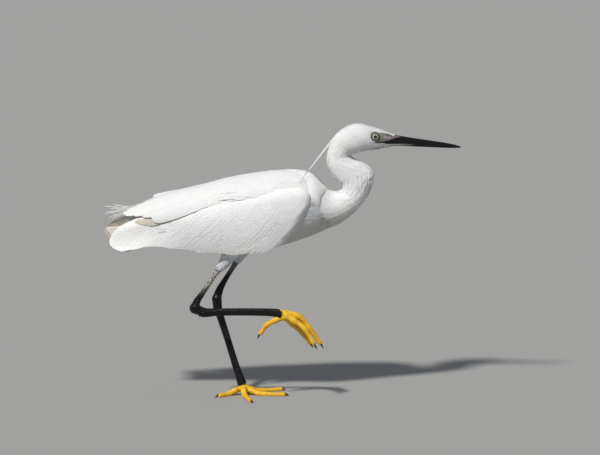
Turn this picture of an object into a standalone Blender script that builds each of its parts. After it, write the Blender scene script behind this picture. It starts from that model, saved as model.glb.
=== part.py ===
# Little egret at life size, walking, the left foot on the floor and the right foot raised
# Metres throughout: +X towards the bill, +Y to the bird's left, +Z up, the floor at Z = 0
# Tables are written in millimetres and turned into metres by MM

import math
import random

import bmesh
import bpy
from mathutils import Matrix, Vector

MM = 0.001
GAP = 0.3 * MM  # kept between pieces that touch
WELD = 2e-7  # points closer than this are one
NUDGE = 0.02  # step along a curve for its direction, in stations
random.seed(7)

# Sections of torso and neck: ahead and up of the back edge, of the front edge, and the half width
TORSO = (
    (-160.0, 225.5, -160.0, 192.5, 10.5),  # tail root
    (-122.0, 245.8, -122.0, 183.8, 24.0),  # rump
    (-86.0, 258.8, -86.0, 177.8, 33.0),
    (-50.0, 266.9, -50.0, 176.5, 38.0),  # belly
    (-14.0, 273.1, -14.0, 181.1, 40.0),
    (14.0, 276.4, 16.0, 190.7, 37.0),  # shoulders
    (35.0, 272.3, 40.0, 199.5, 30.5),
    (48.9, 258.2, 54.0, 206.0, 23.0),
    (57.6, 251.4, 68.0, 211.5, 18.0),  # neck root
)
NECK = (
    (67.0, 250.6, 84.5, 223.5, 15.0),
    (72.6, 254.0, 99.0, 239.6, 13.4),  # low bend
    (71.5, 259.0, 107.2, 258.4, 13.5),
    (66.6, 263.5, 110.2, 271.5, 14.0),
    (61.6, 269.2, 106.0, 280.0, 14.0),
    (57.6, 276.5, 96.0, 286.4, 13.8),
    (54.6, 284.0, 86.0, 288.6, 13.0),
    (53.4, 292.0, 82.0, 293.6, 12.4),
    (54.2, 299.5, 81.0, 300.0, 11.8),
    (58.0, 306.0, 80.0, 306.0, 10.5),  # inside the skull
)
BODY = TORSO + NECK
TORSO_END, NECK_SPLIT, HEAD_SPLIT = 8.0, 10.6, 15.7  # where the body is parted, in sections

# Sections of the skull from nape to bill root, in the same order
HEAD = (
    (56.6, 306.5, 56.6, 297.5, 4.5),
    (61.5, 316.5, 61.5, 294.0, 9.3),
    (70.0, 325.0, 70.0, 293.7, 12.2),
    (82.0, 331.8, 82.0, 296.0, 14.0),
    (94.0, 333.0, 94.0, 299.6, 14.2),
    (106.0, 330.2, 106.0, 301.8, 12.6),
    (118.0, 325.9, 118.0, 303.9, 9.4),
    (126.0, 321.6, 126.0, 304.4, 6.8),
)
BILL_ROOT, BILL_TIP = 126.0, 214.4
# Bill: share of its length, top, line of the mouth, underside, half width
BILL = (
    (0.0, 321.0, 310.8, 304.6, 6.2),
    (0.15, 318.4, 309.8, 305.6, 5.2),
    (0.4, 314.8, 308.3, 304.9, 4.2),
    (0.7, 310.9, 306.5, 303.7, 3.0),
    (0.9, 307.6, 305.0, 303.2, 1.7),
    (1.0, 304.8, 304.2, 303.6, 0.6),
)
BILL_EDGE = 0.45  # least half thickness, at the tip
NOSTRIL_AHEAD, NOSTRIL_UP = 138.0, 314.6
MOUTH_CORNER = 118.0
EYE_AHEAD, EYE_UP, EYE_OUT, EYE_RADIUS = 111.3, 318.5, 6.6, 5.0
LID_RADIUS, LID_THICK, LID_OUT = 4.6, 0.85, 3.1
# Long plumes of the nape, laid over the near shoulder: ahead, out, up
NAPE_PLUMES = (
    ((66.0, -2.0, 317.0), (58.5, -4.5, 311.5), (45.6, -9.5, 295.5), (32.5, -16.0, 278.0), (21.0, -27.5, 265.5)),
    ((66.0, -0.5, 314.5), (57.5, -2.0, 307.5), (44.5, -6.0, 291.5), (33.0, -11.5, 277.5), (24.0, -21.0, 269.5)),
)
BACK_PLUMES, THROAT_PLUMES, TAIL_FEATHERS = 5, 9, 5

# Outer face of the folded wings: ahead, middle height, half height, half width
WING = (
    (-213.6, 203.0, 14.0, 15.0),
    (-204.0, 202.2, 17.5, 17.5),
    (-188.4, 204.7, 21.5, 20.5),
    (-170.4, 211.7, 22.1, 24.0),
    (-154.8, 216.3, 23.9, 27.0),
    (-128.4, 218.8, 30.0, 33.0),
    (-98.4, 220.9, 35.9, 38.5),
    (-68.4, 224.5, 40.7, 42.0),
    (-38.4, 226.2, 44.8, 44.0),
    (-20.0, 228.2, 45.4, 44.2),
    (-8.4, 231.5, 43.4, 44.0),
    (21.6, 236.5, 39.0, 40.0),
    (38.0, 238.0, 33.0, 34.0),
)
# How far the lower edge of the wing leans in, as a share of the half width: ahead, share
WING_TUCK = (
    (-215.0, -0.3),
    (-185.0, -0.24),
    (-150.0, -0.04),
    (-110.0, 0.18),
    (-75.0, 0.2),
    (40.0, 0.2),
)
TUCK_BEND = 1.8  # how late down the wing it starts to lean
# Edge of the wing's fleshy pad: ahead, upper and lower angle round the body in degrees
PAD_EDGE = (
    (-118.0, 40.0, 84.0),
    (-90.0, 30.0, 104.0),
    (-55.0, 25.0, 130.0),
    (-18.0, 24.0, 150.0),
    (0.0, 27.0, 152.0),
    (14.0, 35.0, 130.0),
    (26.0, 48.0, 105.0),
    (34.0, 62.0, 84.0),
)
PAD_THICK = (2.8, 4.2, 5.4)  # from its rim inwards
FEATHER_ROWS, SHINGLE = 6, 7.0  # secondaries in a wing, and how steeply each laps over the next
# Tips of the feathers that trail over the rump: ahead, angle
TERTIAL_TIPS = ((-156.0, 25.0), (-177.0, 34.0), (-194.0, 44.0), (-180.0, 60.0), (-160.0, 79.0))

# Legs: ahead, out, up, half depth, half width of each section
THIGH_RIGHT = ((-50.0, -14.0, 200.0, 12.5, 9.0), (-56.0, -16.0, 187.0, 11.0, 8.4),
               (-63.5, -18.0, 176.0, 9.0, 7.2), (-69.0, -19.0, 166.8, 6.4, 5.4),
               (-75.2, -20.0, 159.6, 4.2, 3.8))
SHIN_RIGHT = ((-75.2, -20.0, 159.6, 3.7, 3.4), (-83.0, -20.0, 149.5, 3.4, 3.0),
              (-93.0, -20.0, 133.6, 3.1, 2.8), (-101.5, -20.0, 121.0, 4.2, 3.8),
              (-104.4, -20.0, 113.0, 5.6, 4.6))
TARSUS_RIGHT = ((-99.0, -20.0, 108.0, 6.4, 4.9), (-91.5, -20.0, 106.3, 5.7, 4.2),
                (-76.0, -20.0, 107.0, 4.7, 3.3), (-45.0, -20.0, 107.2, 4.6, 3.1),
                (-18.0, -20.0, 106.8, 4.8, 3.4), (-5.5, -20.0, 105.6, 5.3, 4.4),
                (-0.6, -20.0, 103.8, 5.6, 5.6))
THIGH_LEFT = ((-34.0, 15.0, 196.0, 11.0, 8.6), (-42.0, 15.5, 182.0, 8.0, 7.2),
              (-49.0, 16.0, 170.5, 5.2, 4.9), (-55.0, 16.0, 161.8, 4.0, 3.8))
SHIN_LEFT = ((-55.0, 16.0, 161.8, 3.6, 3.4), (-62.0, 16.0, 150.4, 2.9, 2.8),
             (-70.4, 15.8, 136.8, 3.5, 3.1), (-75.4, 15.5, 127.0, 4.6, 3.8),
             (-78.0, 15.3, 119.0, 5.2, 4.4))
TARSUS_LEFT = ((-78.6, 15.2, 117.0, 6.0, 4.8), (-77.2, 15.2, 104.0, 5.4, 4.0),
               (-74.0, 15.0, 94.0, 4.6, 3.4), (-65.4, 14.4, 66.8, 4.2, 3.0),
               (-56.3, 13.6, 36.8, 4.4, 3.1), (-49.8, 13.1, 17.6, 5.3, 4.4),
               (-48.0, 13.0, 12.4, 5.8, 5.5))
HEEL_RIGHT, HEEL_LEFT = (-104.3, -20.0, 111.8, 7.2), (-78.6, 15.2, 116.5, 6.4)
ANKLE_REACH, ANKLE_RADIUS = 3.3, 5.1  # from the end of the tarsus to the ankle's middle
TOE_RADII = (3.8, 3.7, 3.4, 3.1, 2.6)  # from root to nail
FLAT_SINK, FLAT_HEIGHT = 0.45, 3.0  # toes lower than this are pressed flat on the floor
CLAW, CLAW_RISE = 8.5, 0.9  # length of a claw, and its height over the toe's middle

# Centre lines of the toes, hind toe first: ahead, out, up
TOES_LEFT = (
    ((-49.0, 11.5, 7.6), (-56.5, 8.0, 5.6), (-64.0, 3.5, 2.9), (-75.5, -5.0, 2.2)),
    ((-46.5, 8.5, 8.0), (-46.0, 0.0, 4.8), (-44.0, -11.0, 2.7), (-37.5, -38.0, 2.2)),
    ((-43.5, 12.2, 8.4), (-36.0, 9.0, 5.0), (-25.0, 4.5, 2.6), (2.0, 2.5, 2.1)),
    ((-44.0, 15.6, 7.8), (-37.0, 19.6, 4.8), (-26.0, 25.0, 2.6), (-1.5, 35.0, 2.2)),
)
TOES_RIGHT = (
    ((3.0, -20.3, 101.4), (-8.0, -20.6, 97.0), (-18.5, -21.0, 91.2), (-25.7, -21.5, 81.5)),
    ((4.0, -17.5, 100.0), (12.5, -15.5, 91.5), (22.5, -13.5, 82.5), (32.9, -12.0, 68.6)),
    ((3.0, -20.0, 106.0), (20.0, -19.5, 101.4), (33.2, -19.0, 86.8), (45.4, -18.5, 69.4)),
    ((4.5, -22.5, 103.0), (14.5, -25.0, 97.2), (26.5, -27.0, 88.6), (38.1, -28.5, 70.2)),
)
# Which way each right claw hooks, forward share and downward share
HOOK_RIGHT = ((-0.15, -1.0), (0.35, -0.94), (0.35, -0.94), (0.3, -0.95))


def clear_scene():
    for thing in list(bpy.data.objects):
        bpy.data.objects.remove(thing)


def new_collection(name):
    made = bpy.data.collections.new(name)
    bpy.context.scene.collection.children.link(made)
    return made


def plain_material(name, colour, roughness):
    made = bpy.data.materials.new(name)
    made.use_nodes = True
    shader = made.node_tree.nodes["Principled BSDF"]
    shader.inputs["Base Color"].default_value = (*colour, 1.0)
    shader.inputs["Roughness"].default_value = roughness
    shader.inputs["Metallic"].default_value = 0.0
    return made


def spline(rows, place):
    """The row at a place between 0 and the last row, on a smooth curve through all of them."""
    i = max(0, min(int(place), len(rows) - 2))
    f = place - i
    b, c = rows[i], rows[i + 1]
    a = rows[i - 1] if i else [2 * p - q for p, q in zip(b, c)]
    d = rows[i + 2] if i + 2 < len(rows) else [2 * q - p for p, q in zip(b, c)]
    return [
        0.5 * (2 * q + (r - p) * f + (2 * p - 5 * q + 4 * r - s) * f**2 + (3 * q - p - 3 * r + s) * f**3)
        for p, q, r, s in zip(a, b, c, d)
    ]


def place_of(rows, ahead):
    """Where along the rows the first number has this value; the rows run from low to high."""
    low, high = -0.5, len(rows) - 0.5
    for _ in range(30):
        middle = (low + high) / 2
        if spline(rows, middle)[0] < ahead:
            low = middle
        else:
            high = middle
    return (low + high) / 2


def section(rows, place):
    """Middle of a section of the body, half of the way across it from front to back, and its half width."""
    back_ahead, back_up, front_ahead, front_up, wide = spline(rows, place)
    back, front = Vector((back_ahead, 0, back_up)), Vector((front_ahead, 0, front_up))
    return (back + front) / 2, (back - front) / 2, wide


def body_point(place, angle, lift):
    """A point on torso or neck, at an angle from the back in degrees, raised by lift."""
    centre, backward, wide = section(BODY, place)
    turn = math.radians(angle)
    backward += backward.normalized() * lift
    return centre + backward * math.cos(turn) + Vector((0, (wide + lift) * math.sin(turn), 0))


def back_point(ahead, angle, lift):
    return body_point(place_of(TORSO, ahead), angle, lift)


def wing_point(ahead, angle, lift):
    """A point on the folded right wing's outer face, at an angle from the back in degrees.

    Past 90 the angle counts evenly by height, and 180 is the lower edge."""
    _, middle, high, wide = spline(WING, place_of(WING, ahead))
    turn, down = math.radians(angle), max(0.0, angle / 90 - 1)
    tuck = spline(WING_TUCK, place_of(WING_TUCK, ahead))[1]
    out = math.sin(turn) if angle < 90 else 1 - tuck * down**TUCK_BEND
    up = (high + lift) * math.cos(turn) if angle < 90 else -high * down
    return Vector((ahead, -(wide + lift) * out, middle + up))


def loft(name, rings, collection):
    """A closed skin through rings of equally many points, written in millimetres.

    Both halves of a ring are split into triangles alike, and each end is closed by a strip."""
    count = len(rings[0])
    half = count // 2
    faces = []
    for row in range(len(rings) - 1):
        for i in range(count):
            j = (i + 1) % count
            a, b = row * count + i, row * count + j
            c, d = b + count, a + count
            faces += [(a, b, c), (a, c, d)] if i < half else [(a, b, d), (b, c, d)]
    last = (len(rings) - 1) * count
    for k in range(half - 1):
        a, b, c, d = k, k + 1, count - 2 - k, count - 1 - k
        faces += [(d, c, b), (d, b, a), (last + a, last + b, last + c), (last + a, last + c, last + d)]
    mesh = bpy.data.meshes.new(name)
    mesh.from_pydata([tuple(p * MM) for ring in rings for p in ring], [], faces)
    work = bmesh.new()
    work.from_mesh(mesh)
    bmesh.ops.recalc_face_normals(work, faces=work.faces)
    work.to_mesh(mesh)
    work.free()
    made = bpy.data.objects.new(name, mesh)
    collection.objects.link(made)
    return made


def oval(centre, first, second, count):
    turns = [2 * math.pi * i / count for i in range(count)]
    return [centre + first * math.cos(a) + second * math.sin(a) for a in turns]


def body_loft(name, rows, start, end, steps, count, collection, grow=0.0):
    """A length of torso, neck or skull between two places in its row of sections."""
    rings = []
    for i in range(steps + 1):
        centre, backward, wide = section(rows, start + (end - start) * i / steps)
        backward += backward.normalized() * grow
        rings.append(oval(centre, backward, Vector((0, wide + grow, 0)), count))
    return loft(name, rings, collection)


def after_gap(rows, place):
    """The place one gap further along the row of sections."""
    return place + NUDGE * GAP / MM / (section(rows, place + NUDGE)[0] - section(rows, place)[0]).length


def limb(name, rows, collection, grow=0.0, steps=3, count=8):
    """A length of leg, oval across."""
    total = (len(rows) - 1) * steps
    rings = []
    for i in range(total + 1):
        place = i / steps
        *centre, deep, wide = spline(rows, place)
        before, after = spline(rows, place - NUDGE), spline(rows, place + NUDGE)
        along = Vector([q - p for p, q in zip(before[:3], after[:3])]).normalized()
        deepways = along.cross(Vector((0, 1, 0))).normalized()
        sideways = deepways.cross(along)
        rings.append(oval(Vector(centre), deepways * (deep + grow), sideways * (wide + grow), count))
    return loft(name, rings, collection)


def ball(name, centre, radius, collection, segments=12, rings=7, stretch=1.0):
    """A sphere about a point in millimetres, stretched along X where asked."""
    bpy.ops.mesh.primitive_uv_sphere_add(
        radius=radius * MM, segments=segments, ring_count=rings, location=Vector(centre) * MM,
        scale=(stretch, 1, 1))
    return claim(name, collection)


def lid_ring(name, centre, collection):
    """The bare rim round an eye, a small torus lying on the side of the head."""
    bpy.ops.mesh.primitive_torus_add(
        major_radius=LID_RADIUS * MM, minor_radius=LID_THICK * MM, major_segments=12, minor_segments=4,
        location=Vector(centre) * MM, rotation=(math.pi / 2, 0, 0))
    return claim(name, collection)


def claim(name, collection):
    """Names the primitive just added, moves it to a collection and puts its place in its mesh."""
    made = bpy.context.object
    made.name = name
    for holder in list(made.users_collection):
        holder.objects.unlink(made)
    collection.objects.link(made)
    bpy.context.view_layer.update()
    made.data.transform(made.matrix_world)
    made.matrix_world.identity()
    return made


def along_list(values, share):
    """A value between those of a short list, by straight lines."""
    place = share * (len(values) - 1)
    i = min(int(place), len(values) - 2)
    return values[i] + (values[i + 1] - values[i]) * (place - i)


def vane(name, surface, root, tip, width, lift, collection, thick=0.8, bow=0.0, twist=0.0, steps=4,
         outline=(0.5, 0.85, 1.0, 0.9, 0.35)):
    """A feather's vane, lofted over a surface from root to tip and bent across with it.

    root and tip are places on the surface, lift its heights above it, and outline the share of
    the width, both from root to tip; bow bends the shaft, and twist raises one edge over the other."""
    def place(share):
        bend = bow * math.sin(math.pi * share)
        return Vector((root[0] + (tip[0] - root[0]) * share, root[1] + (tip[1] - root[1]) * share + bend))

    rings = []
    for i in range(steps + 1):
        share = i / steps
        ahead, angle = place(share)
        height, half = along_list(lift, share), width / 2 * along_list(outline, share)
        middle = surface(ahead, angle, height)
        along = surface(*place(share + NUDGE), height) - surface(*place(share - NUDGE), height)
        across = along.cross(surface(ahead, angle, height + 1) - middle).normalized()
        by_ahead, by_angle = surface(ahead + 1, angle, height) - middle, surface(ahead, angle + 1, height) - middle
        step = Vector((across.dot(by_ahead) / by_ahead.length_squared, across.dot(by_angle) / by_angle.length_squared))
        tops, unders = [], []
        for reach in (-half, 0.0, half):
            spot, top = (ahead + step.x * reach, angle + step.y * reach), height + reach * math.tan(math.radians(twist))
            tops.append(surface(*spot, top))
            unders.append(surface(*spot, top - thick))
        rings.append(tops + unders[::-1])
    return loft(name, rings, collection)


def strand(name, path, widths, thick, collection, steps=8):
    """A long loose plume through points in space, a flat diamond across."""
    rings = []
    for i in range(steps + 1):
        share = i / steps
        place = share * (len(path) - 1)
        centre = Vector(spline(path, place))
        ahead = Vector(spline(path, place + NUDGE)) - Vector(spline(path, place - NUDGE))
        across = ahead.cross(Vector((0, 1, 0))).normalized()
        side = across.cross(ahead.normalized())
        half, deep = along_list(widths, share) / 2, thick / 2 * (1 - 0.5 * share)
        rings.append([centre - across * half, centre - side * deep, centre + across * half, centre + side * deep])
    return loft(name, rings, collection)


def apply_modifiers(thing):
    graph = bpy.context.evaluated_depsgraph_get()
    mesh = bpy.data.meshes.new_from_object(thing.evaluated_get(graph))
    thing.modifiers.clear()
    thing.data = mesh


def keep_largest(thing):
    """Drops loose scraps and sealed hollows: the surface that holds the most volume stays."""
    work = bmesh.new()
    work.from_mesh(thing.data)
    bmesh.ops.triangulate(work, faces=work.faces)
    left, groups = set(work.faces), []
    while left:
        front, group = [left.pop()], []
        while front:
            face = front.pop()
            group.append(face)
            beside = {other for edge in face.edges for other in edge.link_faces} & left
            left -= beside
            front += beside
        groups.append(group)

    def volume(group):
        return sum(f.verts[0].co.dot(f.verts[1].co.cross(f.verts[2].co)) for f in group)

    groups.sort(key=volume)
    bmesh.ops.delete(work, geom=[f for group in groups[:-1] for f in group], context="FACES")
    bmesh.ops.delete(work, geom=[v for v in work.verts if not v.link_faces], context="VERTS")
    bmesh.ops.remove_doubles(work, verts=work.verts, dist=WELD)
    bmesh.ops.dissolve_degenerate(work, edges=work.edges, dist=WELD)
    bmesh.ops.triangulate(work, faces=work.faces)
    work.to_mesh(thing.data)
    work.free()


def fuse(base, pieces, cutters=(), solver="EXACT"):
    """Joins pieces to base in one union, then takes the cutters away from it."""
    if pieces:
        joined = bpy.data.collections.new("joined")
        bpy.context.scene.collection.children.link(joined)
        for piece in pieces:
            for holder in list(piece.users_collection):
                holder.objects.unlink(piece)
            joined.objects.link(piece)
        union = base.modifiers.new("join", "BOOLEAN")
        union.operation, union.operand_type, union.collection = "UNION", "COLLECTION", joined
        union.solver = solver
        apply_modifiers(base)
        for piece in list(joined.objects):
            bpy.data.objects.remove(piece)
        bpy.data.collections.remove(joined)
    for cutter in cutters:
        cut = base.modifiers.new("cut", "BOOLEAN")
        cut.operation, cut.object, cut.solver = "DIFFERENCE", cutter, solver
        apply_modifiers(base)
    keep_largest(base)
    return base


def mirror(thing):
    """Turns a piece of the right-hand side into the left-hand one."""
    thing.data.transform(Matrix.Scale(-1, 4, (0, 1, 0)))
    thing.data.flip_normals()
    return thing


def hide_cutter(cutter):
    cutter.hide_render = True
    cutter.display_type = "WIRE"
    return cutter


def finish(thing, material, angle=50):
    """Gives a finished sub-part its material and smooth shading with creases."""
    thing.data.materials.clear()
    thing.data.materials.append(material)
    thing.data.shade_smooth()
    thing.data.set_sharp_from_angle(angle=math.radians(angle))
    return thing


def torso(collection):
    """Trunk with the back feathers between the wings and the loose plumes that trail past the tail."""
    trunk = body_loft("torso", BODY, 0, TORSO_END, 14, 18, collection)
    pieces = []
    for tier, front in enumerate((34.0, 2.0, -32.0)):
        for side in (-1, 1):
            start, angle = front - 4.0 * side, 7.5 * side
            pieces.append(vane(
                f"mantle_{tier}_{side}", back_point, (start, angle), (start - 54.0 - 5.0 * tier, angle * 0.9), 13.0,
                (-2.4, 1.3, 2.0, 2.4), collection, twist=-5.0 * side, steps=3))
    for i in range(BACK_PLUMES):
        k = 2 * i / (BACK_PLUMES - 1) - 1
        drop = 5.0 * math.cos(2.3 * i)
        path = ((-90.0, 1.2 * k, 253.5), (-112.0, 2.0 * k, 252.4), (-135.0, 3.0 * k, 246.0 + 0.2 * drop),
                (-160.0, 4.2 * k, 237.5 + 0.4 * drop), (-190.0, 6.5 * k, 229.0 + 0.8 * drop),
                (-214.4 + 3.0 * abs(k), 11.0 * k, 225.5 + 1.2 * drop))
        pieces.append(strand(f"back_plume_{i}", path, (2.4, 2.2, 1.9, 1.4, 0.8), 0.9, collection, steps=6))
    return fuse(trunk, pieces)


def lower_neck(collection):
    """Foot of the neck, with the long feathers that hang back from it over the breast."""
    stem = body_loft("neck_lower", BODY, after_gap(BODY, TORSO_END), NECK_SPLIT, 7, 16, collection)
    pieces = []
    for i in range(THROAT_PLUMES):
        angle = 60.0 + 240.0 * i / (THROAT_PLUMES - 1)
        end = 6.75 - 0.45 * abs(math.sin(math.radians(angle))) + 0.1 * math.sin(5.0 * i)
        pieces.append(vane(
            f"throat_plume_{i}", body_point, (8.7, angle), (end, angle), 9.0,
            (-1.8, 1.5, 1.7, 2.0, 2.0), collection, thick=0.7, twist=4.0 * (-1) ** i,
            steps=3, outline=(0.6, 1.0, 0.95, 0.7, 0.2)))
    return fuse(stem, pieces)


def wing_pad(name, collection):
    """The fleshy body of the folded right wing with its smallest feathers, a thick curved sheet."""
    rows, columns = 10, 5
    start, end = PAD_EDGE[0][0], PAD_EDGE[-1][0]
    rings = []
    for i in range(rows + 1):
        ahead = start + (end - start) * i / rows
        _, top, low = spline(PAD_EDGE, place_of(PAD_EDGE, ahead))
        outer, inner = [], []
        for j in range(columns + 1):
            angle = top + (low - top) * j / columns
            rim = min(i, rows - i, j, columns - j)
            outer.append(wing_point(ahead, angle, -0.3 if rim == 0 else 0.0))
            inner.append(wing_point(ahead, angle, -PAD_THICK[min(rim, len(PAD_THICK) - 1)]))
        rings.append(outer + inner[::-1])
    return loft(name, rings, collection)


def lane(row, share):
    """A place on the line of one flight feather, from its root at 0 to its tip at 1; rows run up the wing."""
    root = Vector((14.0 - 90.0 * row, 124.0 - 40.0 * row))
    tip = Vector((-26.0 - 166.0 * row, 179.0 - 7.0 * math.sin(math.pi * row)))
    return root.lerp(tip, share)


def wing(left, collection, cutters):
    """A folded wing: primaries lowest, then secondaries, two tiers of coverts, tertials and scapulars.

    Both wings are written as the right-hand one, and the left one is mirrored."""
    name = "left" if left else "right"
    pieces = []

    def tier(label, count, root, tip, width, lift, **more):
        for i in range(count):
            share = i / (count - 1)
            loose = Vector((random.uniform(-1.5, 1.5), random.uniform(-1.0, 1.0)))
            height = lift(i) if callable(lift) else lift
            pieces.append(vane(f"{label}_{i}_{name}", wing_point, root(share), Vector(tip(share)) + loose, width,
                               height, collection, **more))

    reach, first, spread = (-213.0, 68.0, 78.0) if left else (-206.0, 84.0, 88.0)
    tier("primary", 4, lambda k: (-86.0 - 8.0 * k, 124.0 - 15.0 * k),
         lambda k: (reach + 9.0 * (2 * k - 1) ** 2, first + spread * k), 17.0,
         lambda i: (-1.9 - 1.1 * i / 4, -1.4 - 1.15 * i, -1.0 - 1.15 * i), bow=-3.0,
         outline=(0.6, 0.9, 1.0, 0.95, 0.4))
    tier("secondary", FEATHER_ROWS, lambda k: lane(k, 0), lambda k: lane(k, 1), 24.0,
         (-2.4, -1.0, -0.4, 0.2), twist=-SHINGLE, steps=3, outline=(0.55, 0.9, 1.0, 0.95, 0.4))
    tier("greater_covert", FEATHER_ROWS, lambda k: lane(k, -0.15), lambda k: lane(k, 0.6), 21.0,
         (-2.6, 1.5, 1.8, 2.2), twist=-SHINGLE, steps=3)
    tier("median_covert", FEATHER_ROWS - 1, lambda k: lane(k, -0.42), lambda k: lane(k, 0.26), 21.0,
         (-2.6, 2.2, 3.6, 4.2), twist=-SHINGLE, steps=3)
    for row in range(2):
        start = 8.0 - 40.0 * row
        tier(f"scapular_{row}", 2, lambda k: (start + 4.0 * k, 38.0 + 28.0 * k),
             lambda k: (start - 62.0, 37.0 + 31.0 * k), 24.0, (-2.6, 2.4, 3.4, 3.8), twist=5.0, steps=3)
    for i, (ahead, angle) in enumerate(TERTIAL_TIPS):
        raised = 9.0 if left and i == 0 else 2.2
        k = i / (len(TERTIAL_TIPS) - 1)
        pieces.append(vane(
            f"tertial_{i}_{name}", wing_point, (-58.0 + 4.0 * k, 34.0 + 32.0 * k), (ahead, angle), 18.0,
            (-2.6, 1.5, 1.8, raised), collection, twist=8.0, steps=3, outline=(0.5, 0.85, 1.0, 0.95, 0.5)))
    pad = wing_pad(f"wing_{name}", collection)
    if left:
        for piece in (pad, *pieces):
            mirror(piece)
    return fuse(pad, pieces, cutters)


def tail(collection):
    """Short square tail, its feathers stacked between the wing tips."""
    base = TORSO[0][0] - GAP / MM
    root = loft("tail", [
        oval(Vector((base, 0, 208.5)), Vector((0, 0, 11.0)), Vector((0, 7.0, 0)), 12),
        oval(Vector((base - 12.0, 0, 207.5)), Vector((0, 0, 6.5)), Vector((0, 6.0, 0)), 12),
        oval(Vector((base - 24.0, 0, 206.5)), Vector((0, 0, 2.4)), Vector((0, 4.5, 0)), 12),
    ], collection)

    def surface(ahead, out, lift):
        return Vector((ahead, out, 206.6 + (ahead - base) * 0.05 + lift - out * out * 0.03))

    pieces = []
    for i in range(TAIL_FEATHERS):
        k = 2 * i / (TAIL_FEATHERS - 1) - 1
        level = 2.0 - 3.4 * abs(k)
        pieces.append(vane(
            f"tail_feather_{i}", surface, (base - 8.0, 2.2 * k), (base - 50.5 + 5.0 * k * k, 6.4 * k), 9.0,
            (level * 0.5, level, level), collection, twist=7.0 * (1 if k > 0 else -1),
            outline=(0.6, 0.9, 1.0, 0.95, 0.5)))
    return fuse(root, pieces)


def bill_half(name, upper, collection):
    """Upper or lower half of the bill: flat along the mouth, arched outside."""
    rings, steps, count = [], 9, 7
    for i in range(steps + 1):
        share, top, mouth, under, wide = spline(BILL, i / steps * (len(BILL) - 1))
        ahead = BILL_ROOT + GAP / MM + (BILL_TIP - BILL_ROOT - GAP / MM) * share
        edge = mouth + (0.5 if upper else -0.5) * GAP / MM
        deep = max(top - edge, BILL_EDGE) if upper else min(under - edge, -BILL_EDGE)
        arc = [math.pi * j / count for j in range(count + 1)]
        rings.append([Vector((ahead, max(wide, BILL_EDGE) * math.cos(a), edge + deep * math.sin(a) ** 0.8))
                      for a in arc])
    return loft(name, rings, collection)


def upper_bill(collection, cutters):
    """Upper half of the bill with its two slit nostrils."""
    nostrils = [hide_cutter(ball(f"nostril_{side}", (NOSTRIL_AHEAD, side * 5.2, NOSTRIL_UP), 0.9, cutters, 8, 6,
                                 stretch=3.2)) for side in (-1, 1)]
    return fuse(bill_half("bill_upper", True, collection), [], nostrils)


def head(collection, cutters):
    """Skull with its short feathers, eye rims, sockets, the corner of the mouth and the nape plumes."""
    skull = body_loft("head", HEAD, 0, len(HEAD) - 1, 10, 16, collection)
    pieces = [body_loft("head_neck", BODY, after_gap(BODY, HEAD_SPLIT), len(BODY) - 1, 3, 14, collection)]
    cut = []
    for side in (-1, 1):
        pieces.append(lid_ring(f"lid_{side}", (EYE_AHEAD, side * (EYE_OUT + LID_OUT), EYE_UP), collection))
        cut.append(ball(f"socket_{side}", (EYE_AHEAD, side * EYE_OUT, EYE_UP), EYE_RADIUS + GAP / MM, cutters))
    for i, path in enumerate(NAPE_PLUMES):
        pieces.append(strand(f"nape_plume_{i}", path, (2.6, 2.6, 2.2, 1.5, 0.7), 1.1, collection, steps=7))
    bpy.ops.mesh.primitive_cube_add(size=MM, location=Vector((MOUTH_CORNER + 5.0, 0, BILL[0][2])) * MM,
                                    scale=(10.0, 24.0, 0.5))
    cut.append(claim("mouth_slit", cutters))
    return fuse(skull, pieces, [hide_cutter(cutter) for cutter in cut])


def claw(name, start, toward, hook, collection):
    """A curved claw that starts one gap past the toe's end."""
    ahead = Vector(toward).normalized()
    down = Vector(hook).normalized()
    side = ahead.cross(down).normalized()
    rings, steps = [], 4
    for i in range(steps + 1):
        share = i / steps
        centre = Vector(start) + ahead * (GAP / MM + CLAW * (share - 0.18 * share**2)) + down * CLAW * 0.26 * share**2
        facing = (ahead * (1 - 0.36 * share) + down * 0.5 * share).normalized()
        radius = 1.7 * (1 - share) ** 0.8 + 0.28
        rings.append(oval(centre, side * radius * 0.8, facing.cross(side) * radius, 6))
    return loft(name, rings, collection)


def toe(name, path, collection):
    """A toe along its centre line, with the swell of its joints, and a flat end for the claw."""
    rings, joints = [], 3
    steps = joints * 3
    for i in range(steps + 1):
        place = i / steps * (len(path) - 1)
        centre = Vector(spline(path, place))
        ahead = (Vector(spline(path, place + NUDGE)) - Vector(spline(path, place - NUDGE))).normalized()
        side = ahead.cross(Vector((0, 0, 1))).normalized()
        radius = along_list(TOE_RADII, i / steps) * (1 + 0.06 * math.cos(2 * math.pi * joints * i / steps))
        rings.append(oval(centre, side * radius, side.cross(ahead) * radius, 8))
    return loft(name, rings, collection)


def toe_end(path):
    last = len(path) - 1
    end = Vector(spline(path, last))
    return end, end - Vector(spline(path, last - NUDGE))


def foot(name, toes, tarsus_rows, collection, cutters):
    """Ankle and four toes in one piece, clear of the tarsus and, where it stands, of the floor."""
    end, before = Vector(tarsus_rows[-1][:3]), Vector(tarsus_rows[-2][:3])
    down = (end - before).normalized()
    ankle = end + down * ANKLE_REACH
    stub = limb(name, [(*(end + down * GAP / MM), *tarsus_rows[-1][3:]), (*ankle, 4.6, 4.2)], collection)
    pieces = [toe(f"{name}_toe_{i}", path, collection) for i, path in enumerate(toes)]
    pieces.append(ball(f"{name}_ankle", ankle, ANKLE_RADIUS, collection, 10, 6))
    return fuse(stub, pieces, cutters)


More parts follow.
